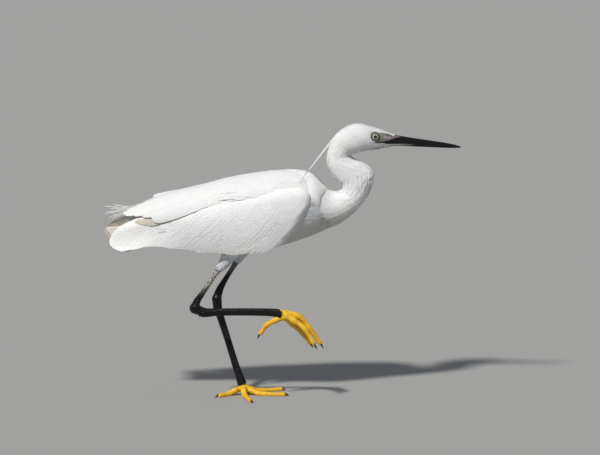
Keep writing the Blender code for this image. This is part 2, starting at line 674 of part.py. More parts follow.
def leg(name, sections, heel, toes, collection, cutters, torso_cutter, thigh_cutter, under):
    """Feathered thigh, bare shin, tarsus and foot of one leg, each face to face with the next."""
    thigh_rows, shin_rows, tarsus_rows = sections
    thigh = fuse(limb(f"thigh_{name}", thigh_rows, collection, steps=2, count=12), [], [torso_cutter])
    heel_cut = hide_cutter(ball(f"heel_cut_{name}", heel[:3], heel[3] + GAP / MM, cutters))
    tarsus_cut = hide_cutter(limb(f"tarsus_cut_{name}", tarsus_rows, cutters, grow=GAP / MM))
    shin = fuse(limb(f"shin_{name}", shin_rows, collection), [], [thigh_cutter, heel_cut, tarsus_cut])
    tarsus = fuse(limb(f"tarsus_{name}", tarsus_rows, collection),
                  [ball(f"heel_{name}", heel[:3], heel[3], collection)])
    return thigh, shin, tarsus, foot(f"foot_{name}", toes, tarsus_rows, collection, [tarsus_cut, *under])


def main():
    clear_scene()
    egret = new_collection("little_egret")
    cutters = new_collection("cutters")
    white = plain_material("white_plumage", (0.90, 0.89, 0.86), 0.75)
    black_skin = plain_material("black_leg_skin", (0.025, 0.023, 0.024), 0.45)
    yellow_skin = plain_material("yellow_toe_skin", (0.72, 0.46, 0.035), 0.5)
    horn = plain_material("black_bill_horn", (0.03, 0.028, 0.032), 0.35)
    claw_horn = plain_material("black_claw_horn", (0.02, 0.018, 0.018), 0.3)
    iris = plain_material("pale_yellow_eye", (0.75, 0.72, 0.42), 0.1)

    torso_cutter = hide_cutter(body_loft("torso_cutter", BODY, 0, TORSO_END, 14, 18, cutters, grow=GAP / MM))
    thigh_cutters = {
        name: hide_cutter(limb(f"thigh_cutter_{name}", rows, cutters, grow=GAP / MM, steps=2, count=12))
        for name, rows in (("right", THIGH_RIGHT), ("left", THIGH_LEFT))
    }
    finish(torso(egret), white)
    finish(lower_neck(egret), white)
    finish(body_loft("neck_upper", BODY, after_gap(BODY, NECK_SPLIT), HEAD_SPLIT, 8, 16, egret), white)
    finish(head(egret, cutters), white)
    finish(tail(egret), white)
    finish(upper_bill(egret, cutters), horn)
    finish(bill_half("bill_lower", False, egret), horn)
    for side, name in ((-1, "right"), (1, "left")):
        finish(ball(f"eye_{name}", (EYE_AHEAD, side * EYE_OUT, EYE_UP), EYE_RADIUS, egret), iris)
        finish(wing(side > 0, egret, [torso_cutter, thigh_cutters[name]]), white)

    bpy.ops.mesh.primitive_cube_add(size=0.4, location=(0, 0, -0.2))
    floor = hide_cutter(claim("floor_cutter", cutters))
    standing = [[(x, y, z - FLAT_SINK if z < FLAT_HEIGHT else z) for x, y, z in path] for path in TOES_LEFT]
    legs = (
        ("right", (THIGH_RIGHT, SHIN_RIGHT, TARSUS_RIGHT), HEEL_RIGHT, TOES_RIGHT, ()),
        ("left", (THIGH_LEFT, SHIN_LEFT, TARSUS_LEFT), HEEL_LEFT, standing, (floor,)),
    )
    for name, sections, heel, toes, under in legs:
        pieces = leg(name, sections, heel, toes, egret, cutters, torso_cutter, thigh_cutters[name], under)
        for piece, material in zip(pieces, (white, black_skin, black_skin, yellow_skin)):
            finish(piece, material)
        for i, path in enumerate(toes):
            start, ahead = toe_end(path)
            if under:
                start, ahead, hook = start + Vector((0, 0, CLAW_RISE)), (ahead.x, ahead.y, 0), (0, 0, -1)
            else:
                forward, down = HOOK_RIGHT[i]
                hook = (forward - 0.9, 0, down + 0.4)
            finish(claw(f"claw_{name}_{i + 1}", start, ahead, hook, egret), claw_horn)


main()
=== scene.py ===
# Little egret, dressed: skin, feathers in tiers, plumes, bill, eyes, legs and feet
# Lengths in the settings are millimetres and angles are degrees; meshes are made in metres

import math

import bmesh
import bpy
import numpy as np
from mathutils import Matrix, Vector


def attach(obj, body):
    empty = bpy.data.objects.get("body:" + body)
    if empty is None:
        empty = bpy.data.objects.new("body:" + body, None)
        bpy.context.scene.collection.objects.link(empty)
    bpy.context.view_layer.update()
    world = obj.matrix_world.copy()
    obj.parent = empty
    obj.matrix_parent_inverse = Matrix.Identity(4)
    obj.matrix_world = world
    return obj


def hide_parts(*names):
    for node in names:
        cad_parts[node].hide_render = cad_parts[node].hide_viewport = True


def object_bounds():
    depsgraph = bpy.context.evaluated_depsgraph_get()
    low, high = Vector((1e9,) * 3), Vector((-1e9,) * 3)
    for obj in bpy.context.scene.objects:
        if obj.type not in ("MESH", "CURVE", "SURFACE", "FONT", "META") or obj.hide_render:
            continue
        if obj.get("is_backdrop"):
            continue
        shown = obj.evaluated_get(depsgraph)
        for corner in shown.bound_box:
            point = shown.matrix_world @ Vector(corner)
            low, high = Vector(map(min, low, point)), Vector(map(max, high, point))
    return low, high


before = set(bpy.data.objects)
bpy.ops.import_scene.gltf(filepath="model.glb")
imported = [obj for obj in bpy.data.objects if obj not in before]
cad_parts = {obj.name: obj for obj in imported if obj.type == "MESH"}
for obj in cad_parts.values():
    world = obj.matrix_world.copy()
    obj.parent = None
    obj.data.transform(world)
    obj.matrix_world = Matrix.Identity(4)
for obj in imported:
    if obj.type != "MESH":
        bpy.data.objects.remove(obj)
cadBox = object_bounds()
mm = 0.001
dice = np.random.default_rng(5)

# Sections of the body from tail root to bill: back edge ahead and up, front edge ahead and up, half width.
# The neck ends near place 16, where the sections turn about the throat, and the skull reaches place 25
bodyRows = np.array((
    (-160.0, 225.5, -160.0, 194.0, 10.5),
    (-122.0, 245.8, -122.0, 186.0, 24.0),
    (-86.0, 258.8, -86.0, 180.2, 33.0),
    (-50.0, 266.9, -50.0, 179.2, 38.0),
    (-14.0, 273.1, -14.0, 182.6, 40.0),
    (14.0, 276.4, 16.0, 191.0, 37.0),
    (35.0, 272.3, 40.0, 199.5, 30.5),
    (48.9, 258.2, 54.0, 206.0, 23.0),
    (57.6, 251.4, 68.0, 211.5, 18.0),
    (67.0, 250.6, 84.5, 223.5, 15.0),
    (72.6, 254.0, 99.0, 239.6, 13.4),
    (71.5, 259.0, 107.2, 258.4, 13.5),
    (66.6, 263.5, 110.2, 271.5, 14.0),
    (61.6, 269.2, 106.0, 280.0, 14.0),
    (57.6, 276.5, 96.0, 286.4, 13.8),
    (54.6, 284.0, 86.0, 290.4, 13.0),
    (53.4, 292.0, 82.4, 293.7, 12.4),
    (54.2, 299.5, 82.4, 294.6, 12.2),
    (57.0, 308.2, 83.0, 295.2, 12.4),
    (62.5, 317.2, 84.5, 295.8, 12.9),
    (71.0, 325.3, 87.0, 296.7, 13.6),
    (82.0, 331.3, 91.5, 298.3, 14.1),
    (94.0, 332.4, 98.0, 300.3, 14.1),
    (106.0, 329.6, 107.5, 302.0, 12.5),
    (118.0, 326.0, 118.0, 303.9, 9.3),
    (126.0, 322.6, 126.0, 304.4, 6.8),
    (135.0, 319.7, 135.0, 304.6, 5.6),
))
neckTop, billRoot = 16.0, 25.0  # places in bodyRows
# Outer face of the folded wings: ahead, middle height, half height, half width
wingRows = np.array((
    (-213.6, 203.0, 14.0, 15.0),
    (-204.0, 202.2, 17.5, 17.5),
    (-188.4, 204.7, 21.5, 20.5),
    (-170.4, 211.7, 22.1, 24.0),
    (-154.8, 216.3, 23.9, 27.0),
    (-128.4, 218.8, 30.0, 33.0),
    (-98.4, 220.9, 35.9, 38.5),
    (-68.4, 224.5, 40.7, 42.0),
    (-38.4, 226.2, 44.8, 44.0),
    (-20.0, 228.2, 45.4, 44.2),
    (-8.4, 231.5, 43.4, 44.0),
    (21.6, 236.5, 39.0, 40.0),
    (38.0, 238.0, 33.0, 34.0),
))
# How far the lower edge of the wing leans in, as a share of the half width: ahead, share
wingTuck = np.array(((-215.0, -0.3), (-185.0, -0.24), (-150.0, -0.04), (-110.0, 0.18), (-80.0, 0.2)))


def unit(v):
    return v / np.maximum(np.linalg.norm(v, axis=-1, keepdims=True), 1e-9)


def rowsAt(rows, place):  # the rows read at places between them, on a smooth curve through all
    table = np.vstack([2 * rows[0] - rows[1], rows, 2 * rows[-1] - rows[-2]])
    i = np.clip(np.asarray(place, float).astype(int), 0, len(rows) - 2)
    f = (place - i)[..., None]
    a, b, c, d = (table[i + k] for k in range(4))
    return 0.5 * (2 * b + (c - a) * f + (2 * a - 5 * b + 4 * c - d) * f**2 + (3 * b - a - 3 * c + d) * f**3)


def ovalSurface(rows):  # points on torso, neck or skull: place in the rows, angle from the back, lift
    def point(place, angle, lift):
        place, angle, lift = np.broadcast_arrays(np.asarray(place, float), angle, lift)
        backX, backZ, frontX, frontZ, wide = np.moveaxis(rowsAt(rows, place), -1, 0)
        halfX, halfZ = (backX - frontX) / 2, (backZ - frontZ) / 2
        grow = (1 + lift / np.hypot(halfX, halfZ)) * np.cos(np.radians(angle))
        return np.stack([(backX + frontX) / 2 + halfX * grow, (wide + lift) * np.sin(np.radians(angle)),
                         (backZ + frontZ) / 2 + halfZ * grow], -1)
    return point


def wingSurface(side):  # points on a folded wing: ahead, angle from the back (past 90 by height), lift
    dense = np.linspace(0, len(wingRows) - 1, 400)
    aheadOf = rowsAt(wingRows, dense)[:, 0]

    def point(ahead, angle, lift):
        ahead, angle, lift = np.broadcast_arrays(np.asarray(ahead, float), angle, lift)
        _, middle, high, wide = np.moveaxis(rowsAt(wingRows, np.interp(ahead, aheadOf, dense)), -1, 0)
        turn, down = np.radians(angle), np.clip(angle / 90 - 1, 0, 2)
        tuck = np.interp(ahead, wingTuck[:, 0], wingTuck[:, 1])
        out = np.where(angle < 90, np.sin(turn), 1 - tuck * down**1.8)
        up = np.where(angle < 90, (high + lift) * np.cos(turn), -high * down)
        return np.stack([ahead, side * (wide + lift) * out, middle + up], -1)
    return point


def limbSurface(rows):  # points round a leg or toe: place in the rows, angle from its front, lift
    rows = np.array(rows, float)

    def point(place, angle, lift):
        place, angle, lift = np.broadcast_arrays(np.asarray(place, float), angle, lift)
        here = rowsAt(rows, place)
        along = unit(rowsAt(rows, place + 0.02)[..., :3] - rowsAt(rows, place - 0.02)[..., :3])
        front = unit(np.cross(along, (0, 1, 0)))
        side = np.cross(front, along)
        turn, lift = np.radians(angle)[..., None], lift[..., None]
        return (here[..., :3] + front * (here[..., 3:4] + lift) * np.cos(turn)
                + side * (here[..., 4:5] + lift) * np.sin(turn))
    return point


bodySkin = ovalSurface(bodyRows)


# Feathers: sheets of vanes laid on a surface from root to tip

def layVanes(surface, root, tip, width, lift, outline, shares=None, twist=0.0, bow=0.0, thick=0.4, across=3,
             camber=0.0, shaft=0.0, fray=0.0):
    # root and tip are places on the surface; lift and twist run from root to tip, outline is the share of the width
    count, stations = len(root), len(outline)
    s = np.linspace(0, 1, stations)[None] if shares is None else np.array(shares, float)[None]

    def alongVane(values):
        values = np.atleast_2d(np.asarray(values, float))
        values = np.stack([np.interp(s[0], np.linspace(0, 1, values.shape[1]), row) for row in values])
        return np.broadcast_to(values, (count, stations))

    high = alongVane(lift)
    twist = alongVane(twist if np.ndim(twist) == 2 else np.broadcast_to(twist, (count,))[:, None])
    width, bow = (np.broadcast_to(np.asarray(x, float), (count,))[:, None] for x in (width, bow))

    def centre(share):
        way = root[:, None] + (tip - root)[:, None] * share[..., None]
        return way[..., 0], way[..., 1] + bow * np.sin(np.pi * share)

    u, v = centre(s)
    middle = surface(u, v, high)
    ahead = surface(*centre(s + 0.02), high) - surface(*centre(s - 0.02), high)
    side = unit(np.cross(ahead, surface(u, v, high + 1) - middle))
    byU = (surface(u + 0.02, v, high) - middle) / 0.02
    byV = (surface(u, v + 0.5, high) - middle) / 0.5
    uu, uv, vv = (byU * byU).sum(-1), (byU * byV).sum(-1), (byV * byV).sum(-1)
    su, sv = (side * byU).sum(-1), (side * byV).sum(-1)
    stretch = np.maximum(uu * vv - uv**2, 1e-9)
    half = width / 2 * np.array(outline)[None]
    stepU = np.clip((su * vv - sv * uv) / stretch, -1.5 / half, 1.5 / half)  # kept in bounds where the surface folds
    stepV = np.clip((sv * uu - su * uv) / stretch, -40 / half, 40 / half)
    length = np.linalg.norm(middle[:, -1] - middle[:, 0], axis=1)[:, None]
    lanes = np.linspace(-1, 1, across)
    lanes = np.concatenate([lanes, lanes[-2:0:-1]])
    points, barb, vane = [], [], []
    luck = dice.random((count, 1))
    for k, c in enumerate(lanes):
        reach = c * half * (1 + fray * dice.uniform(-1, 1, (count, stations)) * (abs(c) == 1))
        under = k >= across
        top = high + reach * np.tan(np.radians(twist)) + camber * half * (1 - c * c)
        top = top + shaft * (abs(c) < 0.01) * (1 - s) - thick * under * (1 - c * c) * (1 - 0.6 * s)
        points.append(surface(u + stepU * reach, v + stepV * reach, top))
        barb.append(np.stack(np.broadcast_arrays(reach, s * length, luck), -1))
        vane.append(np.stack(np.broadcast_arrays(c + 0 * s, s, float(under) + 0 * luck), -1))
    return {"points": np.stack(points, 2), "barb": np.stack(barb, 2), "vane": np.stack(vane, 2)}


def strandVanes(paths, widths, thick, stations=14):  # loose plumes through points in space, a flat diamond across
    paths = np.array(paths, float)
    places = np.linspace(0, paths.shape[1] - 1, stations)
    share = np.linspace(0, 1, stations)
    centre = np.stack([rowsAt(p, places) for p in paths])
    ahead = unit(np.gradient(centre, axis=1))
    across = unit(np.cross(ahead, (0, 1, 0)))
    side = np.cross(across, ahead)
    half = np.interp(share, np.linspace(0, 1, len(widths)), widths)[None, :, None] / 2
    deep = thick / 2 * (1 - 0.6 * share)[None, :, None]
    luck = dice.random((len(paths), 1))
    corners = ((-1, -across * half), (0, side * deep), (1, across * half), (0, -side * deep))
    barb = [np.stack(np.broadcast_arrays(c * half[..., 0], share[None] * 60, luck), -1) for c, _ in corners]
    vane = [np.stack(np.broadcast_arrays(c + 0 * share[None], share[None], 0 * luck), -1) for c, _ in corners]
    return {"points": np.stack([centre + d for _, d in corners], 2), "barb": np.stack(barb, 2),
            "vane": np.stack(vane, 2)}


bakePatch = 0.003  # width of a feather's patch in the OFBake map


def onwardBarbs(sheet, side):  # barbs counted downwards across the vane, alike on both wings
    sheet["barb"][..., 0] *= side
    return sheet


def featherPiece(name, sheets, material, replaced=()):
    # sheets: vanes with the place of each root on the unwrapped skin; all become one mesh
    corners, quads, caps, bake = [], [], [], []
    barb, vane = [], []
    base = 0
    for sheet, place in sheets:
        points = sheet["points"]
        count, stations, ring, _ = points.shape
        f, j, k = np.meshgrid(np.arange(count), np.arange(stations - 1), np.arange(ring), indexing="ij")
        low = base + (f * stations + j) * ring
        after = (k + 1) % ring
        faces = np.stack([low + k, low + after, low + ring + after, low + ring + k], -1).reshape(-1, 4)
        starts = base + np.arange(count)[:, None] * stations * ring
        first = starts + np.arange(ring)[None, ::-1]
        last = starts + (stations - 1) * ring + np.arange(ring)[None]
        flat = points.reshape(-1, 3)
        if inward(points):
            faces, first, last = faces[:, ::-1], first[:, ::-1], last[:, ::-1]
        quads.append(faces)
        caps += first.tolist() + last.tolist()
        corners.append(flat)
        barb.append(sheet["barb"].reshape(-1, 3))
        vane.append(sheet["vane"].reshape(-1, 3))
        patch = np.clip(place, bakePatch, 1 - bakePatch)[:, None, None] + 0 * points[..., :2]
        patch = patch + (sheet["vane"][..., :2] * (0.5, 1) - (0, 0.5)) * bakePatch
        bake.append(patch.reshape(-1, 2))
        base += len(flat)
    mesh = bpy.data.meshes.new(name)
    mesh.from_pydata((np.vstack(corners) * mm).tolist(), [], np.vstack(quads).tolist() + caps)
    layer = mesh.uv_layers.new(name="OFBake")
    loops = np.empty(len(mesh.loops), int)
    mesh.loops.foreach_get("vertex_index", loops)
    layer.data.foreach_set("uv", np.vstack(bake)[loops].astype(np.float32).ravel())
    for label, values in (("barb", barb), ("vane", vane)):
        made = mesh.attributes.new(label, "FLOAT_VECTOR", "POINT")
        made.data.foreach_set("vector", np.vstack(values).astype(np.float32).ravel())
    mesh.shade_smooth()
    mesh.set_sharp_from_angle(angle=math.radians(70))
    return settle(name, mesh, material, replaced)


def inward(points):  # whether the rings of a sheet run so that its faces would point in
    ring = points[:, points.shape[1] // 2]
    ahead = points[:, points.shape[1] // 2 + 1] if points.shape[1] > 2 else points[:, -1]
    ahead = ahead.mean(1) - ring.mean(1)
    spin = np.cross(ring - ring.mean(1, keepdims=True), np.roll(ring, -1, 1) - ring.mean(1, keepdims=True)).sum(1)
    return float((spin * ahead).sum()) < 0


def settle(name, mesh, material, replaced=()):
    piece = bpy.data.objects.new(name, mesh)
    bpy.context.scene.collection.objects.link(piece)
    mesh.materials.clear()
    mesh.materials.append(material)
    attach(piece, "root")
    if replaced:
        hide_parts(*replaced)
    print(f"made {name}: {sum(len(p.vertices) - 2 for p in mesh.polygons)} triangles")
    return piece


def speedOf(surface, u, v):  # millimetres per step of the first coordinate
    return np.linalg.norm(surface(u + 0.02, v, 0) - surface(u - 0.02, v, 0), axis=-1) / 0.04


def scatter(surface, start, end, angles, gapAlong, gapAcross, jitter=0.3):
    # staggered rows of places, evenly spaced along and across the surface
    low, high = angles
    places, u, odd = [], start, False
    step = 1 if end > start else -1
    while (end - u) * step > 0:
        around = np.linspace(low, high, 120)
        ring = surface(np.full(120, u), around, 0)
        reach = np.concatenate([[0], np.cumsum(np.linalg.norm(np.diff(ring, axis=0), axis=1))])
        count = max(2, int(reach[-1] / gapAcross))
        along = (np.arange(count) + (0.5 if odd else 0)) / count * reach[-1]
        along = along + dice.uniform(-jitter, jitter, count) * gapAcross
        v = np.interp(along, reach, around)
        speed = speedOf(surface, np.full(count, u), v)
        fastest = speedOf(surface, np.full(120, u), around).max()
        row = np.stack([u + dice.uniform(-jitter, jitter, count) * gapAlong / fastest, v], 1)
        places.append(row[dice.random(count) < 1.4 * speed / fastest])
        u += step * gapAlong / fastest
        odd = not odd
    return np.vstack(places)


def hairStream(surface, root, length, drift=0.0, back=-1):  # tips that lie a true length further along the coat
    speed = speedOf(surface, root[:, 0], root[:, 1])
    return root + np.stack([back * length / speed, np.zeros(len(root)) + drift], 1)


# Materials

def addNode(tree, kind, inputs=(), **settings):
    made = tree.nodes.new(kind)
    for key, value in settings.items():
        setattr(made, key, value)
    for key, value in dict(inputs).items():
        if isinstance(value, bpy.types.NodeSocket):
            tree.links.new(value, made.inputs[key])
        else:
            made.inputs[key].default_value = value
    return made


def maths(tree, operation, a, b=0.0, c=0.0, clamp=False):
    return addNode(tree, "ShaderNodeMath", {0: a, 1: b, 2: c}, operation=operation, use_clamp=clamp).outputs[0]


def fade(tree, value, low, high):  # 0 below low, 1 above high, smooth between; falls where low is the greater
    node = addNode(tree, "ShaderNodeMapRange", {"Value": value, "From Min": min(low, high), "From Max": max(low, high),
                                                "To Min": float(low > high), "To Max": float(low < high)},
                   interpolation_type="SMOOTHSTEP")
    return node.outputs["Result"]


def blend(tree, amount, first, second, kind="MIX"):
    first, second = ((*x, 1.0) if isinstance(x, tuple) else x for x in (first, second))
    made = addNode(tree, "ShaderNodeMix", {0: amount, 6: first, 7: second}, data_type="RGBA", blend_type=kind)
    return made.outputs[2]


def noise(tree, vector, scale, detail=2.0, stretch=None):
    if stretch:
        vector = addNode(tree, "ShaderNodeMapping", {"Vector": vector, "Scale": stretch}).outputs[0]
    return addNode(tree, "ShaderNodeTexNoise", {"Vector": vector, "Scale": scale, "Detail": detail}).outputs["Fac"]


def objectPlace(tree):
    return addNode(tree, "ShaderNodeTexCoord").outputs["Object"]


def split(tree, vector):
    return addNode(tree, "ShaderNodeSeparateXYZ", {0: vector}).outputs


def newGroup(name, inputs, outputs):
    group = bpy.data.node_groups.new(name, "ShaderNodeTree")
    for label, value in inputs.items():
        socket = group.interface.new_socket(label, in_out="INPUT", socket_type="NodeSocketFloat")
        socket.default_value = value
    for label, kind in outputs.items():
        group.interface.new_socket(label, in_out="OUTPUT", socket_type=kind)
    return group, group.nodes.new("NodeGroupInput").outputs, group.nodes.new("NodeGroupOutput").inputs


def useGroup(tree, group, **values):
    made = tree.nodes.new("ShaderNodeGroup")
    made.node_tree = group
    for key, value in values.items():
        made.inputs[key].default_value = value
    return made.outputs


def newMaterial(name, roughness, specular=0.5):
    made = bpy.data.materials.new(name)
    made.use_nodes = True
    shader = made.node_tree.nodes["Principled BSDF"]
    shader.inputs["Roughness"].default_value = roughness
    shader.inputs["Specular IOR Level"].default_value = specular
    return made, made.node_tree, shader


def bumpInto(tree, shader, height, distance, strength=1.0):  # distance in millimetres
    bump = addNode(tree, "ShaderNodeBump", {"Height": height, "Distance": distance * mm, "Strength": strength})
    tree.links.new(bump.outputs[0], shader.inputs["Normal"])


def plumageTintGroup():  # the white of skin and coat alike: cool in general, creamy on nape, vent and wing ends
    # Besides the creamy tints, this group paints shade into the colour: bluish in the hollow between the wing's bend
    # and the collar, grey-beige on the front of the breast and bluish on the lowest plumage
    group, _, out = newGroup("plumageTintAndShade", {}, {"Color": "NodeSocketColor"})
    place = objectPlace(group)
    x, y, z = split(group, place)
    mottle = noise(group, place, 45, 3)
    cool, warm = (0.86, 0.87, 0.885), (0.89, 0.85, 0.765)
    rear = fade(group, x, -0.13, -0.215)
    nape = maths(group, "MULTIPLY", fade(group, x, 0.075, 0.052), fade(group, z, 0.272, 0.285))
    under = fade(group, z, 0.2, 0.178)
    cream = maths(group, "MAXIMUM", maths(group, "MULTIPLY", rear, 0.55), maths(group, "MULTIPLY", nape, 0.5))
    cream = maths(group, "MAXIMUM", cream, maths(group, "MULTIPLY", under, 0.3))
    cream = maths(group, "MULTIPLY", maths(group, "ADD", cream, 0.12), fade(group, mottle, 0.3, 0.7), clamp=True)
    colour = blend(group, cream, cool, warm)
    # Painted shade on the front of the breast, grey-beige with a painted warm reflection from below
    ahead = fade(group, x, -0.03, 0.012)
    breast = maths(group, "MULTIPLY", fade(group, z, 0.240, 0.212), ahead)
    # Painted bluish shade in the hollow between the wing's bend and the collar
    hollowShade = maths(group, "MULTIPLY", fade(group, maths(group, "ADD", z, maths(group, "MULTIPLY", x, 1.6)), 0.309, 0.299),
                   fade(group, maths(group, "SUBTRACT", x, maths(group, "MULTIPLY", z, 0.651)), -0.126, -0.119))
    hollowShade = maths(group, "MULTIPLY", hollowShade, fade(group, z, 0.248, 0.240))  # between the wing's bend and the collar
    colour = blend(group, maths(group, "MULTIPLY", hollowShade, 0.75), colour, (0.50, 0.52, 0.56))
    breast = maths(group, "MULTIPLY", breast, fade(group, maths(group, "SUBTRACT", z, maths(group, "MULTIPLY", x, 0.8)), 0.202, 0.172))
    colour = blend(group, maths(group, "MULTIPLY", breast, 0.85), colour, (0.57, 0.55, 0.48))
    # Painted bluish shade on the lowest plumage, such as the thighs' lower ends
    colour = blend(group, maths(group, "MULTIPLY", fade(group, z, 0.177, 0.168), 0.8), colour, (0.46, 0.49, 0.54))
    stain = maths(group, "MULTIPLY", fade(group, x, -0.190, -0.2095), fade(group, noise(group, place, 160, 3), 0.35, 0.65))
    stain = maths(group, "MULTIPLY", stain, maths(group, "MULTIPLY", fade(group, y, 0.006, 0.012), fade(group, z, 0.224, 0.216)))
    group.links.new(blend(group, stain, colour, (0.55, 0.40, 0.25)), out["Color"])
    return group


def barbGroup():  # the fine build of a vane: slanting barbs, gaps where they part, and the shaft
    group, given, out = newGroup("vaneBarbs", {"Spacing": 0.6, "Slant": 1.0, "Shaft": 0.35, "Parting": 0.5, "Single": 0.0},
                                 {"Height": "NodeSocketFloat", "Shade": "NodeSocketFloat"})
    barb = addNode(group, "ShaderNodeAttribute", attribute_name="barb").outputs["Vector"]
    across, along, luck = split(group, barb)
    out_ = maths(group, "ABSOLUTE", across)
    wander = noise(group, barb, 0.35, 2)
    lean = maths(group, "ADD", maths(group, "MULTIPLY", out_, maths(group, "SUBTRACT", 1.0, given["Single"])),
                 maths(group, "MULTIPLY", across, given["Single"]))  # to both sides of the shaft or to one
    course = maths(group, "SUBTRACT", along, maths(group, "MULTIPLY", lean, given["Slant"]))
    course = maths(group, "ADD", course, maths(group, "MULTIPLY", wander, 2.2))
    wave = maths(group, "SINE", maths(group, "DIVIDE", maths(group, "MULTIPLY", course, 2 * math.pi), given["Spacing"]))
    lane = addNode(group, "ShaderNodeCombineXYZ", {0: maths(group, "MULTIPLY", course, 0.42),
                                                   1: maths(group, "MULTIPLY", luck, 37.0),
                                                   2: maths(group, "SIGN", across)}).outputs[0]
    gaps = fade(group, noise(group, lane, 1.0, 3), 0.56, 0.68)
    gaps = maths(group, "MULTIPLY", gaps, fade(group, maths(group, "ADD", out_, maths(group, "MULTIPLY", given["Single"], 2.0)), 0.6, 1.8))
    gaps = maths(group, "MULTIPLY", gaps, given["Parting"])
    shaft = fade(group, maths(group, "DIVIDE", out_, given["Shaft"]), 1.0, 0.4)
    height = maths(group, "ADD", maths(group, "MULTIPLY", wave, 0.16), maths(group, "MULTIPLY", shaft, 0.6))
    group.links.new(maths(group, "SUBTRACT", height, gaps), out["Height"])
    shade = maths(group, "SUBTRACT", 1.0, maths(group, "MULTIPLY", gaps, 0.3))
    group.links.new(maths(group, "ADD", shade, maths(group, "MULTIPLY", wave, 0.012)), out["Shade"])
    return group


plumageTintAndShade, vaneBarbs = plumageTintGroup(), barbGroup()


def featherMaterial(name, spacing, slant, shaft, parting, relief=0.36, rootWarmth=0.25, single=0.0, streaks=0.0,
                    tone=1.0, tipShade=0.0):
    material, tree, shader = newMaterial(name, 0.78, 0.25)
    shader.inputs["Sheen Weight"].default_value = 0.12
    shader.inputs["Sheen Roughness"].default_value = 0.4
    detail = useGroup(tree, vaneBarbs, Spacing=spacing, Slant=slant, Shaft=shaft, Parting=parting, Single=single)
    vane = addNode(tree, "ShaderNodeAttribute", attribute_name="vane").outputs["Vector"]
    _, share, below = split(tree, vane)
    _, _, luck = split(tree, addNode(tree, "ShaderNodeAttribute", attribute_name="barb").outputs["Vector"])
    colour = useGroup(tree, plumageTintAndShade)["Color"]
    warmth = maths(tree, "MULTIPLY", fade(tree, share, 0.6, 0.0), rootWarmth)
    # Undersides (below 1) get a warm beige: painted warm light, standing in for light bounced into the shade under
    # wings and tail
    warmth = maths(tree, "MAXIMUM", warmth, maths(tree, "MULTIPLY", fade(tree, below, 0.05, 0.4), 0.75))
    colour = blend(tree, warmth, colour, (0.86, 0.79, 0.67))
    # below 2 marks the strip under the tertials: painted shade, a darker beige
    colour = blend(tree, fade(tree, below, 1.2, 1.8), colour, (0.62, 0.575, 0.49))
    # below under 0, set by shadeVanes: painted bluish shade
    colour = blend(tree, fade(tree, below, 0.0, -1.0), colour, (0.42, 0.44, 0.49))
    # Painted shade that darkens the plume towards its thin tip
    colour = blend(tree, maths(tree, "MULTIPLY", fade(tree, share, 0.7, 0.84), tipShade), colour, (0.16, 0.16, 0.17))
    # tone scales each feather kind's white to even out how the light falls on it: painted light
    even = addNode(tree, "ShaderNodeMapRange", {"Value": luck, "To Min": 0.965 * tone, "To Max": tone}).outputs[0]
    shade, height = maths(tree, "MULTIPLY", detail["Shade"], even), detail["Height"]
    if streaks:
        lines = maths(tree, "MULTIPLY", wingLines(tree), streaks)
        shade = maths(tree, "MULTIPLY", shade, maths(tree, "SUBTRACT", 1.0, maths(tree, "MULTIPLY", lines, 0.1)))
        height = maths(tree, "SUBTRACT", height, maths(tree, "MULTIPLY", lines, 1.8))
    grey = addNode(tree, "ShaderNodeCombineColor", {0: shade, 1: shade, 2: shade}).outputs[0]
    tree.links.new(blend(tree, 1.0, colour, grey, "MULTIPLY"), shader.inputs["Base Color"])
    bumpInto(tree, shader, height, relief)
    return material


def wingLines(tree):  # long partings that run down and back over the folded wing
    x, y, z = split(tree, objectPlace(tree))
    lean = math.radians(46)
    wander = maths(tree, "MULTIPLY", noise(tree, objectPlace(tree), 18, 2), 0.012)
    along = maths(tree, "ADD", maths(tree, "MULTIPLY", x, math.cos(lean)), maths(tree, "MULTIPLY", z, math.sin(lean)))
    across = maths(tree, "SUBTRACT", maths(tree, "MULTIPLY", z, math.cos(lean)), maths(tree, "MULTIPLY", x, math.sin(lean)))
    across = maths(tree, "ADD", across, wander)
    spread = addNode(tree, "ShaderNodeCombineXYZ", {0: maths(tree, "MULTIPLY", along, 20.0),
                                                    1: maths(tree, "MULTIPLY", across, 330.0),
                                                    2: maths(tree, "SIGN", y)}).outputs[0]
    lines = fade(tree, noise(tree, spread, 1.0, 3), 0.5, 0.72)
    return maths(tree, "MULTIPLY", lines, fade(tree, z, 0.246, 0.214))


# The tones make the sunlit shoulders darker and the head, neck, wing and plumes lighter, so all parts match in
# brightness; painted light on one white plumage
smallFeather = featherMaterial("small_feather", 0.45, 1.4, 0.18, 0.5, 0.2, tone=1.1)
covertFeather = featherMaterial("covert", 0.6, 1.7, 0.15, 0.1, 0.14, single=1.0, streaks=1.0, tone=1.09)
flightFeather = featherMaterial("flight_feather", 0.7, 1.6, 0.2, 0.4, 0.14, streaks=0.5, tone=1.04)
shoulderFeather = featherMaterial("shoulder_feather", 0.7, 1.6, 0.2, 0.4, 0.14, rootWarmth=0.12, tone=0.94)
plumeFeather = featherMaterial("plume", 0.8, 2.0, 0.25, 0.0, 0.08, tone=1.05)
napeFeather = featherMaterial("nape_plume", 0.8, 2.0, 0.25, 0.0, 0.08, tone=1.07, tipShade=0.85)
print("feather materials ready")


# Skin: one closed surface round trunk, neck, skull, thighs and the fleshy part of the wings

def loftPoints(shape, rings):  # rings of equally many points, in millimetres, closed at both ends
    loops = []
    for ring in rings:
        made = bmesh.ops.create_circle(shape, segments=len(ring), radius=1.0)["verts"]
        for v, p in zip(made, ring):
            v.co = Vector(p) * mm
        loops.append(list(dict.fromkeys(e for v in made for e in v.link_edges)))
    for low, high in zip(loops, loops[1:]):
        bmesh.ops.bridge_loops(shape, edges=low + high)
    bmesh.ops.holes_fill(shape, edges=loops[0] + loops[-1], sides=0)


